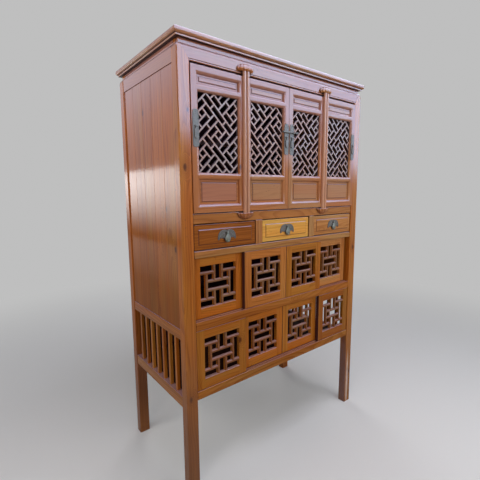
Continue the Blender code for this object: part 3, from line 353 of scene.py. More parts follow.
class Shader:
    """The nodes of a material or a world, with short ways to add them."""

    def __init__(self, owner):
        owner.use_nodes = True
        self.owner = owner
        self.tree = owner.node_tree

    def put(self, socket, value):
        if isinstance(value, bpy.types.NodeSocket):
            self.tree.links.new(value, socket)
        else:
            socket.default_value = value

    def node(self, kind, **settings):
        made = self.tree.nodes.new(kind)
        for key, value in settings.items():
            setattr(made, key, value)
        return made

    def math(self, operation, a, b=0.0, clamp=False):
        made = self.node("ShaderNodeMath", operation=operation, use_clamp=clamp)
        self.put(made.inputs[0], a)
        self.put(made.inputs[1], b)
        return made.outputs[0]

    def plus(self, total, value, weight, clamp=False):
        """A total with a weighted value added."""
        return self.math("ADD", total, self.math("MULTIPLY", value, weight), clamp)

    def swing(self, value):
        """How far a value lies above or below the middle of its range."""
        return self.math("SUBTRACT", value, MIDDLE)

    def between(self, value, low, high, to_low=0.0, to_high=1.0):
        """A smooth step of a value from low to high."""
        made = self.node("ShaderNodeMapRange", interpolation_type="SMOOTHSTEP")
        for socket, number in zip(made.inputs, (value, low, high, to_low, to_high)):
            self.put(socket, number)
        return made.outputs[0]

    def fade(self, value, span, full=1.0):
        """A smooth step down from full to nothing over a span."""
        return self.between(value, *span, full, 0.0)

    def vector(self, operation, a, b):
        made = self.node("ShaderNodeVectorMath", operation=operation)
        self.put(made.inputs[0], a)
        self.put(made.inputs[1], b)
        return made.outputs[0]

    def length(self, vector):
        made = self.node("ShaderNodeVectorMath", operation="LENGTH")
        self.put(made.inputs[0], vector)
        return made.outputs["Value"]

    def split(self, vector):
        made = self.node("ShaderNodeSeparateXYZ")
        self.put(made.inputs[0], vector)
        return list(made.outputs)

    def join(self, x, y, z):
        made = self.node("ShaderNodeCombineXYZ")
        for socket, value in zip(made.inputs, (x, y, z)):
            self.put(socket, value)
        return made.outputs[0]

    def noise(self, vector, scale, detail, roughness):
        made = self.node("ShaderNodeTexNoise")
        self.put(made.inputs["Vector"], self.vector("MULTIPLY", vector, scale))
        made.inputs["Scale"].default_value = 1.0
        made.inputs["Detail"].default_value = detail
        made.inputs["Roughness"].default_value = roughness
        return made.outputs[0]

    def mix(self, share, a, b, blend="MIX"):
        made = self.node("ShaderNodeMix", data_type="RGBA", blend_type=blend)
        self.put(made.inputs[0], share)
        for socket, value in ((made.inputs[6], a), (made.inputs[7], b)):
            self.put(socket, (*value, 1.0) if isinstance(value, tuple) else value)
        return made.outputs[2]

    def pick(self, share, a, b):
        """One of two vectors."""
        made = self.node("ShaderNodeMix", data_type="VECTOR")
        self.put(made.inputs[0], share)
        self.put(made.inputs[4], a)
        self.put(made.inputs[5], b)
        return made.outputs[1]

    def bump(self, height, distance, before=None):
        made = self.node("ShaderNodeBump")
        made.inputs["Strength"].default_value = 1.0
        made.inputs["Distance"].default_value = distance
        self.put(made.inputs["Height"], height)
        if before is not None:
            self.put(made.inputs["Normal"], before)
        return made.outputs[0]

    def facing(self):
        """The surface's direction, as its three parts."""
        return self.split(self.node("ShaderNodeNewGeometry").outputs["Normal"])

    def apart(self, value, middle, half):
        """How far a value lies outside a span, negative inside it."""
        return self.math("SUBTRACT", self.math("ABSOLUTE", self.math("SUBTRACT", value, middle)), half)

    def crevice(self, distance):
        """How open the surface is, from 0 in a corner to 1 in the open."""
        made = self.node("ShaderNodeAmbientOcclusion", samples=6)
        made.inputs["Distance"].default_value = distance
        return made.outputs["AO"]

    def show(self, shader):
        """Make a shader the surface."""
        self.put(self.tree.nodes["Material Output"].inputs["Surface"], shader)


def material(name):
    """A new material's shader, with its surface and the part's own coordinates."""
    s = Shader(bpy.data.materials.new(name))
    s.surface = s.tree.nodes["Principled BSDF"]
    s.spot = s.node("ShaderNodeTexCoord").outputs["Object"]
    return s


def along(s, axis):
    """The coordinates with the first one along the grain: x, z or d, a diagonal of the front."""
    if axis == "x":
        return s.spot
    x, y, z = s.split(s.spot)
    if axis == "z":
        return s.join(z, x, y)
    half = math.sqrt(0.5)
    rise = s.math("MULTIPLY", s.math("ADD", x, z), half)
    fall = s.math("MULTIPLY", s.math("SUBTRACT", x, z), half)
    return s.join(rise, fall, y)


def framed(x_mid, x_half, x_wide, z_mid, z_half, z_tall, mitred=True):
    """Grain of a frame: upright in its stiles, level in its rails and panels, met on a mitre at the corners."""
    other_stile = 3.1
    rails_per_metre = 7.0
    other_rail = 1.7
    stile_tint = 0.18

    def grain(s):
        x, y, z = s.split(s.spot)
        u = s.math("DIVIDE", s.apart(x, x_mid, x_half), x_wide)
        v = s.math("DIVIDE", s.apart(z, z_mid, z_half), z_tall)
        limit = s.math("MAXIMUM", v, 0.0) if mitred else 0.0
        stile = s.math("GREATER_THAN", u, limit)
        upright = s.join(z, s.plus(x, s.math("GREATER_THAN", x, x_mid), other_stile), y)
        rail = s.math("ROUND", s.math("MULTIPLY", z, rails_per_metre))
        level = s.join(x, s.plus(z, rail, other_rail), y)
        return s.pick(stile, level, upright), s.math("MULTIPLY", stile, stile_tint)

    return grain


def boarded(first, last, count, rails, across="y"):
    """Grain of a side: upright boards of different tone, with level rails at the given heights."""
    other_board = 2.3

    def grain(s):
        x, y, z = s.split(s.spot)
        wide, deep = (y, x) if across == "y" else (x, y)
        board = s.math("FLOOR", s.math("DIVIDE", s.math("SUBTRACT", wide, first), (last - first) / count))
        dice = s.node("ShaderNodeTexWhiteNoise", noise_dimensions="1D")
        s.put(dice.inputs["W"], board)
        upright = s.join(z, s.plus(wide, board, other_board), deep)
        level = s.join(wide, z, deep)
        inside = 0.0
        for low, high in rails:
            hit = s.math("MULTIPLY", s.math("GREATER_THAN", z, low), s.math("LESS_THAN", z, high))
            inside = s.math("MAXIMUM", inside, hit)
        return s.pick(inside, upright, level), s.math("MAXIMUM", dice.outputs["Value"], inside)

    return grain


def knotted(s, spot, axis, share, marks):
    """The cores of knots and the halos that turn the rings: scattered over a share of cells, and at set places."""
    cells = s.node("ShaderNodeTexVoronoi", feature="F1", voronoi_dimensions="3D")
    s.put(cells.inputs["Vector"], s.vector("MULTIPLY", spot, KNOT_CELLS))
    cells.inputs["Scale"].default_value = 1.0
    kept = s.math("LESS_THAN", s.split(cells.outputs["Color"])[0], share)
    core = s.math("MULTIPLY", s.fade(cells.outputs["Distance"], KNOT_CORE), kept)
    halo = s.math("MULTIPLY", s.fade(cells.outputs["Distance"], KNOT_HALO), kept)
    for place, size in marks:
        stretch = tuple((MARK_STRETCH if way == axis else 1.0) / size for way in "xyz")
        off = s.length(s.vector("MULTIPLY", s.vector("SUBTRACT", s.spot, place), stretch))
        core = s.math("MAXIMUM", core, s.fade(off, MARK_CORE))
        halo = s.math("MAXIMUM", halo, s.fade(off, MARK_HALO))
    return core, halo


def ringed(s, spot, halo):
    """The dark late wood of the year rings, which drift and bend round the knots."""
    _, across, deep = s.split(spot)
    ring = s.plus(s.math("MULTIPLY", across, RING_ACROSS), deep, RING_DEEP)
    ring = s.plus(ring, s.noise(spot, *DRIFTS), RING_DRIFT)
    ring = s.math("FRACT", s.plus(ring, halo, RING_TURN))
    return s.math("MULTIPLY", s.between(ring, *LATE_WOOD), s.fade(ring, (LATE_WOOD[1], 1.0)))


def wood(name, tones, axis, seed, grain=None, knots=0.22, gloss=0.8, crevice_shade=0.8, bands=1.0, wave=0.0007, shine=0.45,
         marks=(), glints=(), reach=0.010, tinted=0.5, under_shade=0.0, lines=(), field=None, rim=None, rod=None, upward_sheen=0.5,
         darker_low=None, top_sheen=None, shade=None, dull=DULL):
    """Varnished pine: streaks and rings along the grain, knots that turn them, painted shade in the corners.

    The grain runs along an axis, or as grain says for a piece of several boards, which are tinted apart. Knots fill a
    share of cells and stand at marks, and glints are painted highlights and sheen at set places. Bands is the
    strength of the rings. Gloss, wave, shine and dull rule the varnish. Crevice_shade, within reach of a corner,
    under_shade, lines, rim and shade paint shade into the corners, the underside, the lines round raised fields, the
    upright edges and what faces one way. Field tints the fields; rod paints light onto the pivot rod; upward_sheen
    and top_sheen paint a reflection of the sky onto what faces up and onto the top; darker_low turns the foot darker
    and greyer.
    """
    s = material(name)
    spread = random.Random(seed)
    spot, tint = grain(s) if grain else (along(s, axis), None)
    spot = s.vector("ADD", spot, tuple(spread.uniform(-SHIFT, SHIFT) for _ in range(3)))
    red = spread.uniform(-REDDER, REDDER)

    core, halo = knotted(s, spot, axis, knots, marks)
    late = ringed(s, spot, halo)
    streak = s.between(s.noise(spot, *STREAKS), *STREAK_SPAN)
    fibre = s.noise(spot, *FIBRES)
    cloud = s.noise(spot, *CLOUDS)
    share = s.plus(s.math("MULTIPLY", late, LATE_DARK * bands), streak, STREAK_DARK * bands)
    share = s.plus(share, s.swing(fibre), FIBRE_DARK)
    share = s.plus(share, s.swing(cloud), CLOUD_DARK)
    if tint is not None:
        share = s.plus(share, s.swing(tint), tinted)
    share = s.plus(share, halo, HALO_DARK, clamp=True)
    colour = s.mix(share, *tones)

    blush = s.between(s.math("ADD", s.noise(spot, *BLUSHES), red), *BLUSH_SPAN)
    colour = s.mix(1.0, colour, s.mix(blush, HONEY, RUDDY), "MULTIPLY")
    colour = s.mix(s.math("MULTIPLY", core, CORE_DARK), colour, KNOT)
    speck = s.math("MULTIPLY", s.between(s.noise(spot, *SPECKS), *SPECK_SPAN),
                   s.between(s.noise(spot, *SPECK_PATCHES), *SPECK_PATCH_SPAN))
    colour = s.mix(s.math("MULTIPLY", speck, SPECK_DARK), colour, SHADE_AND_SPECK)

    x, _, z = s.split(s.spot)
    # Painted shade where the surface is closed in: corners, gaps between parts and recesses
    painted_shade = s.math("MULTIPLY", s.fade(s.crevice(reach), OPEN_SPAN, CREVICE_DARK), crevice_shade, clamp=True)
    # Painted reflection of the sky, growing towards the top
    if top_sheen:
        most, low, high = top_sheen
        colour = s.mix(s.between(z, low, high, 0.0, most), colour, TOP_SHEEN_TONE)
    # Painted highlights and painted sheen in patches at set places
    for place, size, tone, most in glints:
        off = s.length(s.vector("DIVIDE", s.vector("SUBTRACT", s.spot, place), size))
        patchy = s.between(s.noise(spot, *GLINT_PATCHES), *GLINT_PATCH_SPAN, GLINT_LEAST, 1.0)
        colour = s.mix(s.math("MULTIPLY", s.fade(off, GLINT_SPAN, most), patchy), colour, tone)
    # Painted shade in a thin line round each raised field
    for x_mid, z_mid, x_half, z_half in lines:
        off = s.math("MAXIMUM", s.apart(x, x_mid, x_half), s.apart(z, z_mid, z_half))
        if field:
            colour = s.mix(s.fade(off, FIELD_SPAN, FIELD_SHARE), colour, field)
        painted_shade = s.math("MAXIMUM", painted_shade, s.fade(s.math("ABSOLUTE", off), LINE_SPAN, LINE_DARK))
    # Painted light on the pivot rod, which also loses most of its painted shade
    if rod:
        inside = s.fade(s.apart(x, *rod), ROD_SPAN)
        colour = s.mix(s.math("MULTIPLY", inside, ROD_SHARE), colour, ROD_LIGHT)
        painted_shade = s.math("MULTIPLY", painted_shade, s.math("SUBTRACT", 1.0, s.math("MULTIPLY", inside, ROD_LESS_SHADE)))
    # Painted shade on faces that look one way
    if shade:
        way, start, end, most = shade
        painted_shade = s.math("MAXIMUM", painted_shade, s.between(s.facing()["xyz".find(way)], start, end, 0.0, most))
    # Painted shade on the upright edges of a sliding panel
    if rim:
        painted_shade = s.math("MAXIMUM", painted_shade, s.between(s.apart(x, *rim), *RIM_SPAN, 0.0, RIM_DARK))
    # Painted shade on faces that look down
    if under_shade:
        painted_shade = s.math("MAXIMUM", painted_shade, s.fade(s.facing()[2], UNDER_SHADE_SPAN, under_shade))
    # Painted reflection of the sky on faces that tilt a little upwards
    if upward_sheen:
        colour = s.mix(s.between(s.facing()[2], *UPWARD_SHEEN_SPAN, 0.0, upward_sheen), colour, UPWARD_SHEEN_TONE)
    # Darker and greyer towards the bottom
    if darker_low:
        most, low, high = darker_low
        colour = s.mix(s.fade(z, (low, high), most), colour, FOOT_TONE)
    # The painted shade pulls the colour towards a dark purple-brown
    s.put(s.surface.inputs["Base Color"], s.mix(painted_shade, colour, SHADE_AND_SPECK))

    rough = s.plus(s.math("MULTIPLY", cloud, ROUGH_CLOUD), fibre, ROUGH_FIBRE)
    rough = s.plus(rough, painted_shade, ROUGH_IN_SHADE)
    s.put(s.surface.inputs["Roughness"], s.math("ADD", rough, ROUGH_MOST - ROUGH_GLOSS * gloss))
    s.surface.inputs["IOR"].default_value = VARNISH_IOR
    least, low, high = dull
    s.surface.inputs["Specular IOR Level"].default_value = shine
    s.put(s.surface.inputs["Specular IOR Level"], s.between(z, low, high, least * shine, shine))
    relief = s.plus(s.math("MULTIPLY", late, LATE_RELIEF), fibre, FIBRE_RELIEF)
    relief = s.math("SUBTRACT", relief, s.math("MULTIPLY", speck, SPECK_RELIEF))
    normal = s.bump(s.noise(spot, *SWELLS), wave)
    s.put(s.surface.inputs["Normal"], s.bump(relief, GRAIN_DEPTH, normal))
    return s.owner


def pewter(name, seed, tone=PLATE_TONE, metal=0.0):
    """Dull white copper with darker hollows, greenish blotches and fine scratches."""
    s = material(name)
    spread = random.Random(seed)
    spot = s.vector("ADD", s.spot, tuple(spread.uniform(-METAL_SHIFT, METAL_SHIFT) for _ in range(3)))
    blotch = s.noise(spot, *BLOTCHES)
    fleck = s.noise(spot, *FLECKS)
    scratch = s.noise(spot, *SCRATCHES)
    green = tuple(share * c for share, c in zip(BLOTCH_TONE, tone))
    dark = tuple(FLECK_TONE * c for c in tone)
    darkest = tuple(HOLLOW_TONE * c for c in tone)
    colour = s.mix(s.between(blotch, *BLOTCH_SPAN), tone, green)
    colour = s.mix(s.between(fleck, *FLECK_SPAN, 0.0, FLECK_SHARE), colour, dark)
    hollow = s.fade(s.crevice(HOLLOW_REACH), HOLLOW_SPAN, HOLLOW_DARK)
    s.put(s.surface.inputs["Base Color"], s.mix(hollow, colour, darkest))
    s.surface.inputs["Metallic"].default_value = metal
    s.surface.inputs["Specular IOR Level"].default_value = METAL_SHINE
    rough = s.plus(s.math("MULTIPLY", blotch, BLOTCH_ROUGH), scratch, SCRATCH_ROUGH)
    rough = s.plus(rough, hollow, HOLLOW_ROUGH)
    s.put(s.surface.inputs["Roughness"], s.math("ADD", rough, METAL_ROUGH))
    s.put(s.surface.inputs["Normal"], s.bump(s.plus(fleck, scratch, SCRATCH_RELIEF), METAL_DEPTH))
    return s.owner


def dress(node, look, bevel=0.0012, segments=2, smooth=True):
    """Give a CAD node its material and slightly rounded edges."""
    made = NODES[node]
    made.data.materials.clear()
    made.data.materials.append(look)
    made.modifiers.new("weld", "WELD").merge_threshold = WELD
    if bevel:
        edge = made.modifiers.new("edge", "BEVEL")
        edge.width = bevel
        edge.segments = segments
        edge.limit_method = "ANGLE"
        edge.angle_limit = EDGE_ANGLE
    for face in made.data.polygons:
        face.use_smooth = smooth
    if smooth:
        made.modifiers.new("flat", "WEIGHTED_NORMAL").keep_sharp = False


def dress_front():
    """Posts, top and rails."""
    for k, (place, foot_share) in enumerate(POST_FOOT_DARKENING.items()):
        look = wood("post_" + place, PINE, "z", SEED["post"] + k, knots=0.34, crevice_shade=0.4,
                    marks=POST_KNOTS.get(place, ()), glints=POST_GLINTS.get(place, ()), darker_low=(foot_share, 0.15, 0.90))
        dress("post_" + place, look)
    dress("top_board", wood("top_board", PINE_TOP, "x", SEED["top"], crevice_shade=0.6, under_shade=0.95))
    dress("frieze_rail", wood("frieze_rail", PINE_FRIEZE, "x", SEED["frieze"], crevice_shade=1.0, reach=0.014, under_shade=0.9,
                              bands=0.6))
    for k, node in enumerate(("door_sill_rail", "drawer_sill_rail", "middle_rail", "bottom_rail")):
        sill = k < 2
        look = wood(node, PINE_RAIL if sill else PINE_TRACK, "x", SEED["rail"] + k, crevice_shade=1.0, reach=0.012,
                    shine=0.20 if sill else 0.03, upward_sheen=0.5 if sill else 0.2,
                    shade=("z", 0.70, 0.95, 0.2 if sill else 0.4))
        dress(node, look, bevel=0.0030, segments=4, smooth=False)


def dress_sides():
    """Sides, grilles, lotus brackets and the uprights between the drawers."""
    rail_z = BODY_TOP - SIDE_TOP_RAIL_H
    for k, side in enumerate(("left", "right")):
        low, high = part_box("side_panel_" + side)
        grain = boarded(low.y, high.y, SIDE_BOARDS, ((rail_z, ABOVE_ALL),))
        look = wood("side_panel_" + side, PINE, "z", SEED["side"] + k, grain, knots=0.30, gloss=1.0, wave=0.0004,
                    tinted=0.30, dull=SIDE_DULL, darker_low=(0.45, 0.75, 1.20), top_sheen=(0.65, 1.52, 1.73))
        dress("side_panel_" + side, look)
        low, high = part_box("side_grille_" + side)
        rails = ((low.z - RAIL_MARGIN, low.z + GRILLE_FOOT_H), (high.z - GRILLE_HEAD_H, high.z + RAIL_MARGIN))
        grain = boarded(low.y, high.y, GRILLE_BOARDS, rails)
        dress("side_grille_" + side, wood("side_grille_" + side, PINE, "z", SEED["grille"] + k, grain))
        for end in ("top", "bottom"):
            name = "lotus_%s_%s" % (end, side)
            look = wood(name, PINE_LOTUS, "x", SEED["lotus"] + k, crevice_shade=1.2, reach=0.008, shine=0.30)
            dress(name, look, bevel=0.0)
        name = "drawer_divider_" + side
        dress(name, wood(name, PINE_RAIL, "z", SEED["divider"] + k))


def dress_inside():
    """The back board, with painted shade on its inner face, and the floors and the shelf, painted near black as
    shade.
    """
    low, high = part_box("back_panel")
    grain = boarded(low.x, high.x, BACK_BOARDS, (), "x")
    dress("back_panel", wood("back_panel", PINE_BACK, "z", SEED["back"], grain, gloss=0.2, shine=0.03,
                             shade=("y", 0.2, -0.2, 1.0)))
    for k, node in enumerate(("bottom_floor", "tier_floor", "drawer_floor", "cupboard_floor", "cupboard_shelf")):
        dress(node, wood(node, PINE_INSIDE_SHADE, "x", SEED["inside"] + k, gloss=0.2, shine=0.03, upward_sheen=0.0))


def dress_doors():
    """Door frames with their fields and pivot rods, lattices, plates, pulls and the bolt."""
    z_mid = (DOOR_FOOT + DOOR_HEAD) / 2
    z_half = (DOOR_HEAD - DOOR_FOOT) / 2 - DOOR_STILE
    for k in range(1, 5):
        name = "door_%d" % k
        low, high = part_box(name + "_lattice")
        mid = (low + high) / 2
        half = (high.x - low.x) / 2 - LATTICE_LAP
        low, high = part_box(name + "_frame")
        grain = framed(mid.x, half, DOOR_STILE, z_mid, z_half, DOOR_STILE)
        lines = ((mid.x, DOOR_FOOT + LOW_FIELD_RISE, half - LOW_FIELD_MARGIN, LOW_FIELD_HALF - LOW_FIELD_MARGIN),
                 (mid.x, DOOR_HEAD - TOP_FIELD_DROP, half - TOP_FIELD_MARGIN, TOP_FIELD_HALF - TOP_FIELD_MARGIN))
        rod = (high.x - ROD_R if k % 2 else low.x + ROD_R, ROD_R)
        look = wood(name + "_frame", PINE_DOOR, "z", SEED["door"] + k, grain, crevice_shade=0.35, shine=0.34,
                    marks=DOOR_KNOTS.get(k, ()), lines=lines, field=FIELDS[k - 1], rod=rod, top_sheen=(0.6, 1.36, 1.62))
        dress(name + "_frame", look, bevel=0.0010)
        look = wood(name + "_lattice", PINE_LATTICE, "d", SEED["lattice"] + k, knots=0.0, gloss=-0.6, crevice_shade=1.2,
                    shine=0.25, reach=0.013, shade=("y", -0.94, -0.60, 0.8))
        dress(name + "_lattice", look, bevel=0.0006)
        dress(name + "_plate", pewter(name + "_plate", SEED["plate"] + k), bevel=0.0005)
        dress(name + "_pull", pewter(name + "_pull", SEED["pull"] + k), bevel=0.0006)
    dress("lock_bolt", pewter("lock_bolt", SEED["bolt"]), bevel=0.0006)


def dress_drawers():
    """Drawers with painted shade in a line round their raised fields, bat plates and pear pulls."""
    for k, side in enumerate(("left", "middle", "right")):
        name = "drawer_" + side
        tones = (PINE_DARK, PINE_PALE, PINE_RIGHT)[k]
        low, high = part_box(name)
        mid = (low + high) / 2
        line = (mid.x, mid.z + DRAWER_FOOT / 2, (high.x - low.x) / 2 - DRAWER_MARGIN,
                (high.z - low.z - DRAWER_FOOT) / 2 - DRAWER_MARGIN)
        look = wood(name, tones, "x", SEED["drawer"] + k, crevice_shade=1.1, reach=0.009, shine=0.22, lines=(line,))
        dress(name, look, bevel=0.0014)
        dress(name + "_plate", pewter(name + "_plate", SEED["bat"] + k, BAT_TONE), bevel=0.0005)
        dress(name + "_pull", pewter(name + "_pull", SEED["pear"] + k, PEAR_TONE, PEAR_METAL), bevel=0.0005)


def dress_slides():
    """Sliding panels, each with the rounded faces of its fret bars."""
    for tier in ("upper", "lower"):
        for k in range(1, 5):
            name = "slide_%s_%d" % (tier, k)
            low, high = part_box(name)
            mid = (low + high) / 2
            half = (high.x - low.x) / 2
            grain = framed(mid.x, half - SLIDE_STILE, SLIDE_STILE, mid.z, SLIDE_FIELD_HALF, SLIDE_RAIL,
                           mitred=False)
            seed = SEED[tier] + k
            share = SLIDE_TONE_AND_LIGHT.get(name, 1.0)
            tones = tuple(tuple(share * c for c in tone) for tone in SLIDE_TONES.get(name, PINE))
            look = wood(name, tones, "z", seed, grain, crevice_shade=0.22, reach=0.014, shine=0.22, rim=(mid.x, half))
            dress(name, look, bevel=0.0018, segments=3)
            look = wood(name + "_fret_bars", PINE_FRET, "z", SEED["fret"] + seed, grain, knots=0.0, gloss=-0.5,
                        crevice_shade=0.6, shine=0.12, upward_sheen=0.25, shade=("x", -0.30, -0.75, 0.7))
            fret_trim(name, look)


def mesh_piece(name, verts, faces, look, body):
    """A new piece from its vertices and faces, on a body."""
    mesh = bpy.data.meshes.new(name)
    work = bmesh.new()
    points = [work.verts.new(v) for v in verts]
    for face in faces:
        work.faces.new([points[i] for i in face])
    bmesh.ops.recalc_face_normals(work, faces=work.faces[:])
    for face in work.faces:
        face.smooth = True
    for edge in work.edges:
        edge.smooth = edge.calc_face_angle(0.0) < CRISP
    work.to_mesh(mesh)
    work.free()
    mesh.materials.append(look)
    made = bpy.data.objects.new(name, mesh)
    bpy.context.scene.collection.objects.link(made)
    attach(made, body)


class Trim:
    """Wires, bosses and strips collected for one piece, on a face that looks to -y."""

    def __init__(self):
        self.verts = []
        self.faces = []

    def add(self, verts, faces):
        first = len(self.verts)
        self.verts.extend(verts)
        self.faces.extend([[first + i for i in face] for face in faces])

    def wire(self, points, radius, closed=False):
        """A round wire through the points, thinner at its ends unless closed."""
        sides = WIRE_SIDES
        deep = Vector((0.0, 1.0, 0.0))
        count = len(points)
        verts = []
        for k, point in enumerate(points):
            before = points[k - 1] if closed or k else point
            after = points[(k + 1) % count] if closed or k < count - 1 else point
            ahead = (Vector(after) - Vector(before)).normalized()
            out = ahead.cross(deep).normalized()
            thick = radius if closed or 0 < k < count - 1 else WIRE_TIP * radius
            for i in range(sides):
                turn = 2 * math.pi * i / sides
                verts.append(Vector(point) + thick * (math.cos(turn) * out + math.sin(turn) * deep))
        faces = []
        for k in range(count if closed else count - 1):
            m = (k + 1) % count
            for i in range(sides):
                j = (i + 1) % sides
                faces.append([k * sides + i, k * sides + j, m * sides + j, m * sides + i])
        if not closed:
            faces.append(list(range(sides)))
            faces.append([(count - 1) * sides + i for i in range(sides)])
        self.add(verts, faces)

    def dome(self, x, y, z, wide, tall, high):
        """A rounded boss with its root a little inside the face."""
        sides = DOME_SIDES
        levels = [(1.0, DOME_ROOT)] + [(share, rise * high) for share, rise in DOME_LEVELS]
        verts = []
        for share, out in levels:
            for i in range(sides):
                turn = 2 * math.pi * i / sides
                verts.append((x + wide * share * math.cos(turn), y - out, z + tall * share * math.sin(turn)))
        tip = len(verts)
        verts.append((x, y - high, z))
        faces = [list(range(sides))]
        for k in range(len(levels) - 1):
            for i in range(sides):
                j = (i + 1) % sides
                faces.append([k * sides + i, k * sides + j, (k + 1) * sides + j, (k + 1) * sides + i])
        for i in range(sides):
            faces.append([tip - sides + i, tip - sides + (i + 1) % sides, tip])
        self.add(verts, faces)


def arc(x, z, wide, tall, start, end, y, steps=10):
    """Points of an elliptic arc between two angles in degrees."""
    points = []
    for i in range(steps + 1):
        turn = math.radians(start + (end - start) * i / steps)
        points.append((x + wide * math.cos(turn), y, z + tall * math.sin(turn)))
    return points


def fret_trim(name, look):
    """Rounded faces of a sliding panel's fret bars, a strip for each straight run of the pattern."""
    low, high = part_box(name)
    x0 = low.x + SLIDE_STILE
    z0 = TIER_FOOT[name.split("_")[1]] + SLIDE_FOOT
    x_unit = (high.x - SLIDE_STILE - x0) / FRET_UNITS
    z_unit = FRET_H / FRET_UNITS
    face = low.y + FRET_SET + FRET_SINK
    first = (-FRET_PAST, FRET_INNER[0])
    last = (FRET_INNER[1], FRET_UNITS + FRET_PAST)
    runs = []
    for level in FRET_OUTER:
        runs += [("x", level, *first), ("x", level, *last), ("z", level, *FRET_OUTER)]
    for level in FRET_INNER:
        runs += [("z", level, *first), ("z", level, *last), ("x", level, *FRET_OUTER)]
    strips = Trim()
    steps = FRET_STEPS
    for axis, level, start, end in runs:
        verts = []
        for place in (start, end):
            for i in range(steps + 1):
                share = -1 + 2 * i / steps
                out = FRET_ROUND * math.sqrt(max(0.0, 1 - share * share))
                across = level + FRET_BAR_HALF * share
                u, v = (place, across) if axis == "x" else (across, place)
                verts.append((x0 + u * x_unit, face - out, z0 + v * z_unit))
        faces = [[i, i + 1, steps + 2 + i, steps + 1 + i] for i in range(steps)]
        faces += [[0, steps, 2 * steps + 1, steps + 1], list(range(steps + 1)),
                  list(range(steps + 1, 2 * steps + 2))]
        strips.add(verts, faces)
    mesh_piece(name + "_fret_bars", strips.verts, strips.faces, look, name)


def door_trim(k):
    """Rim, nails and scrolls of a door plate, and the rim and ridge of its pull."""
    name = "door_%d" % k
    low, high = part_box(name + "_pull")
    x = (low.x + high.x) / 2
    pull_top = high.z - PULL_EYE
    low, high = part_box(name + "_plate")
    y = PLATE_FACE_Y
    z = (low.z + high.z) / 2
    tall = (high.z - low.z) / 2
    wide = PLATE_HALF - PLATE_INSET
    head = z + tall - PLATE_INSET
    foot = z - tall + PLATE_INSET
    chamfer = PLATE_CHAMFER * wide
    arch = PLATE_ARCH * wide
    trim = Trim()
    ring = [(x - PLATE_FOOT * wide, y, foot), (x + PLATE_FOOT * wide, y, foot), (x + wide, y, foot + chamfer)]
    ring += arc(x, head - arch, wide, arch, 0, 180, y, 12)
    ring.append((x - wide, y, foot + chamfer))
    trim.wire(ring, RIM_R, True)
    nails = [(0, tall - NAIL_DROP)]
    nails += [(side * NAIL_OUT, share * tall) for share in NAIL_PAIRS for side in (-1, 1)]
    nails.append((0, NAIL_RISE - tall))
    for out, rise in nails:
        trim.dome(x + out, y, z + rise, *NAIL)
    for side in (-1, 1):
        for out, rise, half, high_half, start, end in SCROLLS:
            trim.wire(arc(x + side * out, z + rise * tall, half, high_half, 90 + side * start, 90 - side * end, y),
                      SCROLL_R)
    look = pewter(name + "_plate_trim", SEED["plate_trim"] + k, TRIM_TONE)
    mesh_piece(name + "_plate_trim", trim.verts, trim.faces, look, name)

    tab = Trim()
    y = TAB_FACE_Y
    wide = TAB_HALF - TAB_INSET
    foot = pull_top - TAB_L + TAB_INSET
    ring = arc(x, foot + wide, wide, wide, 180, 360, y, 12)
    ring += [(x + wide, y, pull_top - TAB_SHOULDER), (x + TAB_NECK_HALF, y, pull_top - TAB_NECK)]
    ring += [(x - TAB_NECK_HALF, y, pull_top - TAB_NECK), (x - wide, y, pull_top - TAB_SHOULDER)]
    tab.wire(ring, TAB_RIM_R, True)
    drop, half, high_half = TAB_OVAL
    tab.wire(arc(x, pull_top - drop, half, high_half, 90, 450, y, 16)[:-1], TAB_OVAL_R, True)
    tab.dome(x, y, pull_top - TAB_STUD_DROP, *TAB_STUD)
    look = pewter(name + "_pull_trim", SEED["pull_trim"] + k, TRIM_TONE)
    mesh_piece(name + "_pull_trim", tab.verts, tab.faces, look, name + "_pull")


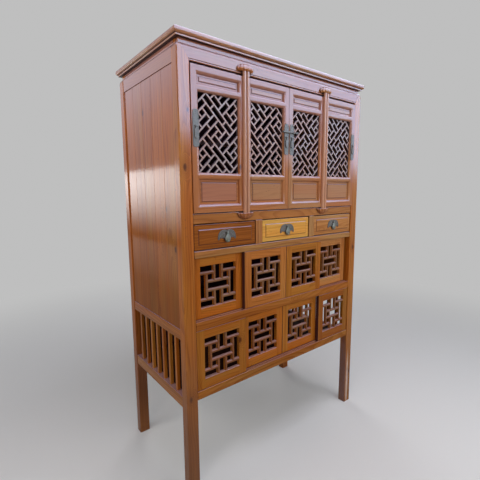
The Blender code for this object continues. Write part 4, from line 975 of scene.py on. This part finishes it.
def drawer_trim(k, side):
    """Rim, wing ribs, eyes and nails of a bat plate, and the ridges and stud of its pear pull."""
    name = "drawer_" + side
    low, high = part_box(name + "_plate")
    x = (low.x + high.x) / 2
    y = BAT_FACE_Y
    z = (low.z + high.z) / 2
    half = (high.x - low.x) / 2
    tall = high.z - low.z
    trim = Trim()
    ring = [(x + p * BAT_RIM[0] * half, y, z + q * BAT_RIM[1] * tall) for p, q in BAT_HALF]
    ring += [(x - p * BAT_RIM[0] * half, y, z + q * BAT_RIM[1] * tall) for p, q in reversed(BAT_HALF) if p > 0]
    trim.wire(ring, RIM_R, True)
    for way in (-1, 1):
        for p, q in RIB_TIPS:
            points = []
            for i in range(RIB_STEPS + 1):
                share = i / RIB_STEPS
                out = RIB_ROOT[0] + (p - RIB_ROOT[0]) * share ** RIB_BEND[0]
                rise = RIB_ROOT[1] + (q - RIB_ROOT[1]) * share ** RIB_BEND[1]
                points.append((x + way * half * out, y, z + tall * rise))
            trim.wire(points, RIB_R)
        for (out, rise), boss in ((BAT_NAIL_PLACE, BAT_NAIL), (BAT_EYE_PLACE, BAT_EYE)):
            trim.dome(x + way * out * half, y, z + rise * tall, *boss)
    look = pewter(name + "_plate_trim", SEED["bat_trim"] + k, BAT_TRIM_TONE)
    mesh_piece(name + "_plate_trim", trim.verts, trim.faces, look, name)

    low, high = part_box(name + "_pull")
    eye = high.z - PULL_EYE
    centre = (low.y + high.y) / 2
    pear = Trim()
    for lean in PEAR_RIDGES:
        turn = -math.pi / 2 + lean
        points = []
        for i in range(PEAR_FIRST, PEAR_STEPS):
            share = i / PEAR_STEPS
            swell = PEAR_NECK + (1 - PEAR_NECK) * math.sin(math.pi * PEAR_TURN * share ** PEAR_BEND)
            points.append((x + PEAR_HALF * swell * math.cos(turn), centre + PEAR_DEPTH * swell * math.sin(turn),
                           eye - PEAR_DROP - share * PEAR_L))
        pear.wire(points, PEAR_RIDGE_R)
    pear.dome(x, centre - PEAR_DEPTH * PEAR_STUD_OUT, eye - PEAR_STUD_DROP, *PEAR_STUD)
    look = pewter(name + "_pull_trim", SEED["pear_trim"] + k, PEAR_TRIM_TONE, PEAR_METAL)
    mesh_piece(name + "_pull_trim", pear.verts, pear.faces, look, name + "_pull")


def card(name, corners, colour, strength, fade, base, lean):
    """A glowing card that only reflections see: it rises from its base over a share of its height, and leans."""
    mesh = bpy.data.meshes.new(name)
    mesh.from_pydata(corners, [], [(0, 1, 2, 3)])
    uv = mesh.uv_layers.new(name="uv")
    for loop, spot in zip(uv.data, ((0, 0), (1, 0), (1, 1), (0, 1))):
        loop.uv = spot
    made = bpy.data.objects.new(name, mesh)
    bpy.context.scene.collection.objects.link(made)
    s = material(name)
    s.tree.nodes.remove(s.surface)
    glow = s.node("ShaderNodeEmission")
    glow.inputs["Color"].default_value = (*colour, 1.0)
    across, height, _ = s.split(s.node("ShaderNodeTexCoord").outputs["UV"])
    level = s.between(height, 0.0, fade, base, strength)
    s.put(glow.inputs["Strength"], s.math("MULTIPLY", level, s.between(across, *CARD_LEAN, 1.0, lean)))
    s.show(glow.outputs[0])
    mesh.materials.append(s.owner)
    made.visible_camera = False
    made.visible_diffuse = False
    made.visible_shadow = False
    made.visible_transmission = False
    made.visible_volume_scatter = False


def lamp(name, place, aim, size, power, colour):
    """A soft rectangular lamp that the varnish does not mirror."""
    light = bpy.data.lights.new(name, "AREA")
    light.shape = "RECTANGLE"
    light.size, light.size_y = size
    light.energy = power
    light.color = colour
    made = bpy.data.objects.new(name, light)
    made.location = place
    made.rotation_euler = (Vector(aim) - Vector(place)).to_track_quat("-Z", "Y").to_euler()
    made.visible_camera = False
    made.visible_glossy = False
    bpy.context.scene.collection.objects.link(made)


def seen(s):
    """One for the rays that show the background: from the camera, from gloss and through glass."""
    path = s.node("ShaderNodeLightPath")
    share = s.math("MAXIMUM", path.outputs["Is Camera Ray"], path.outputs["Is Glossy Ray"])
    return s.math("MAXIMUM", share, path.outputs["Is Transmission Ray"])


def studio():
    """A pale floor that fades into a pale background, soft lamps and bright cards for the varnish to mirror."""
    edge = FLOOR_HALF
    mesh = bpy.data.meshes.new("floor")
    mesh.from_pydata([(-edge, -edge, 0), (edge, -edge, 0), (edge, edge, 0), (-edge, edge, 0)], [], [(0, 1, 2, 3)])
    floor = bpy.data.objects.new("floor", mesh)
    bpy.context.scene.collection.objects.link(floor)
    s = material("floor")
    shown = seen(s)
    s.put(s.surface.inputs["Base Color"], s.mix(shown, FLOOR_DIM, FLOOR_PALE))
    s.surface.inputs["Roughness"].default_value = FLOOR_ROUGH
    s.surface.inputs["Specular IOR Level"].default_value = FLOOR_SHINE
    fade = s.between(s.length(s.spot), FLOOR_NEAR, FLOOR_FAR)
    glow = s.node("ShaderNodeEmission")
    glow.inputs["Color"].default_value = (*PALE, 1.0)
    blend = s.node("ShaderNodeMixShader")
    s.put(blend.inputs[0], s.math("MULTIPLY", fade, shown))
    s.put(blend.inputs[1], s.surface.outputs[0])
    s.put(blend.inputs[2], glow.outputs[0])
    s.show(blend.outputs[0])
    mesh.materials.append(s.owner)
    world = bpy.data.worlds.new("studio")
    bpy.context.scene.world = world
    w = Shader(world)
    w.put(w.tree.nodes["Background"].inputs["Color"], w.mix(seen(w), AMBIENT, PALE))
    for name, settings in LAMPS.items():
        lamp(name, *settings)
    for name, settings in CARDS.items():
        card(name, *settings)
    bpy.context.scene.view_settings.view_transform = "Standard"


def camera():
    """The photograph's viewpoint."""
    yaw, pitch, roll = (math.radians(a) for a in VIEW_TURNS)
    ahead = Vector((math.sin(yaw) * math.cos(pitch), math.cos(yaw) * math.cos(pitch), math.sin(pitch)))
    right = Vector((math.cos(yaw), -math.sin(yaw), 0.0))
    up = right.cross(ahead)
    side = math.cos(roll) * right + math.sin(roll) * up
    head = -math.sin(roll) * right + math.cos(roll) * up
    view = bpy.data.cameras.new("view")
    view.sensor_width = SENSOR
    view.lens = SENSOR * FOCAL_PX / IMAGE_PX
    made = bpy.data.objects.new("view", view)
    made.matrix_world = Matrix((side, head, -ahead)).transposed().to_4x4()
    made.location = VIEW_PLACE
    bpy.context.scene.collection.objects.link(made)
    bpy.context.scene.camera = made


camera()
studio()
dress_front()
dress_sides()
dress_inside()
dress_doors()
dress_drawers()
dress_slides()
for door in range(1, 5):
    door_trim(door)
for index, place in enumerate(("left", "middle", "right")):
    drawer_trim(index, place)
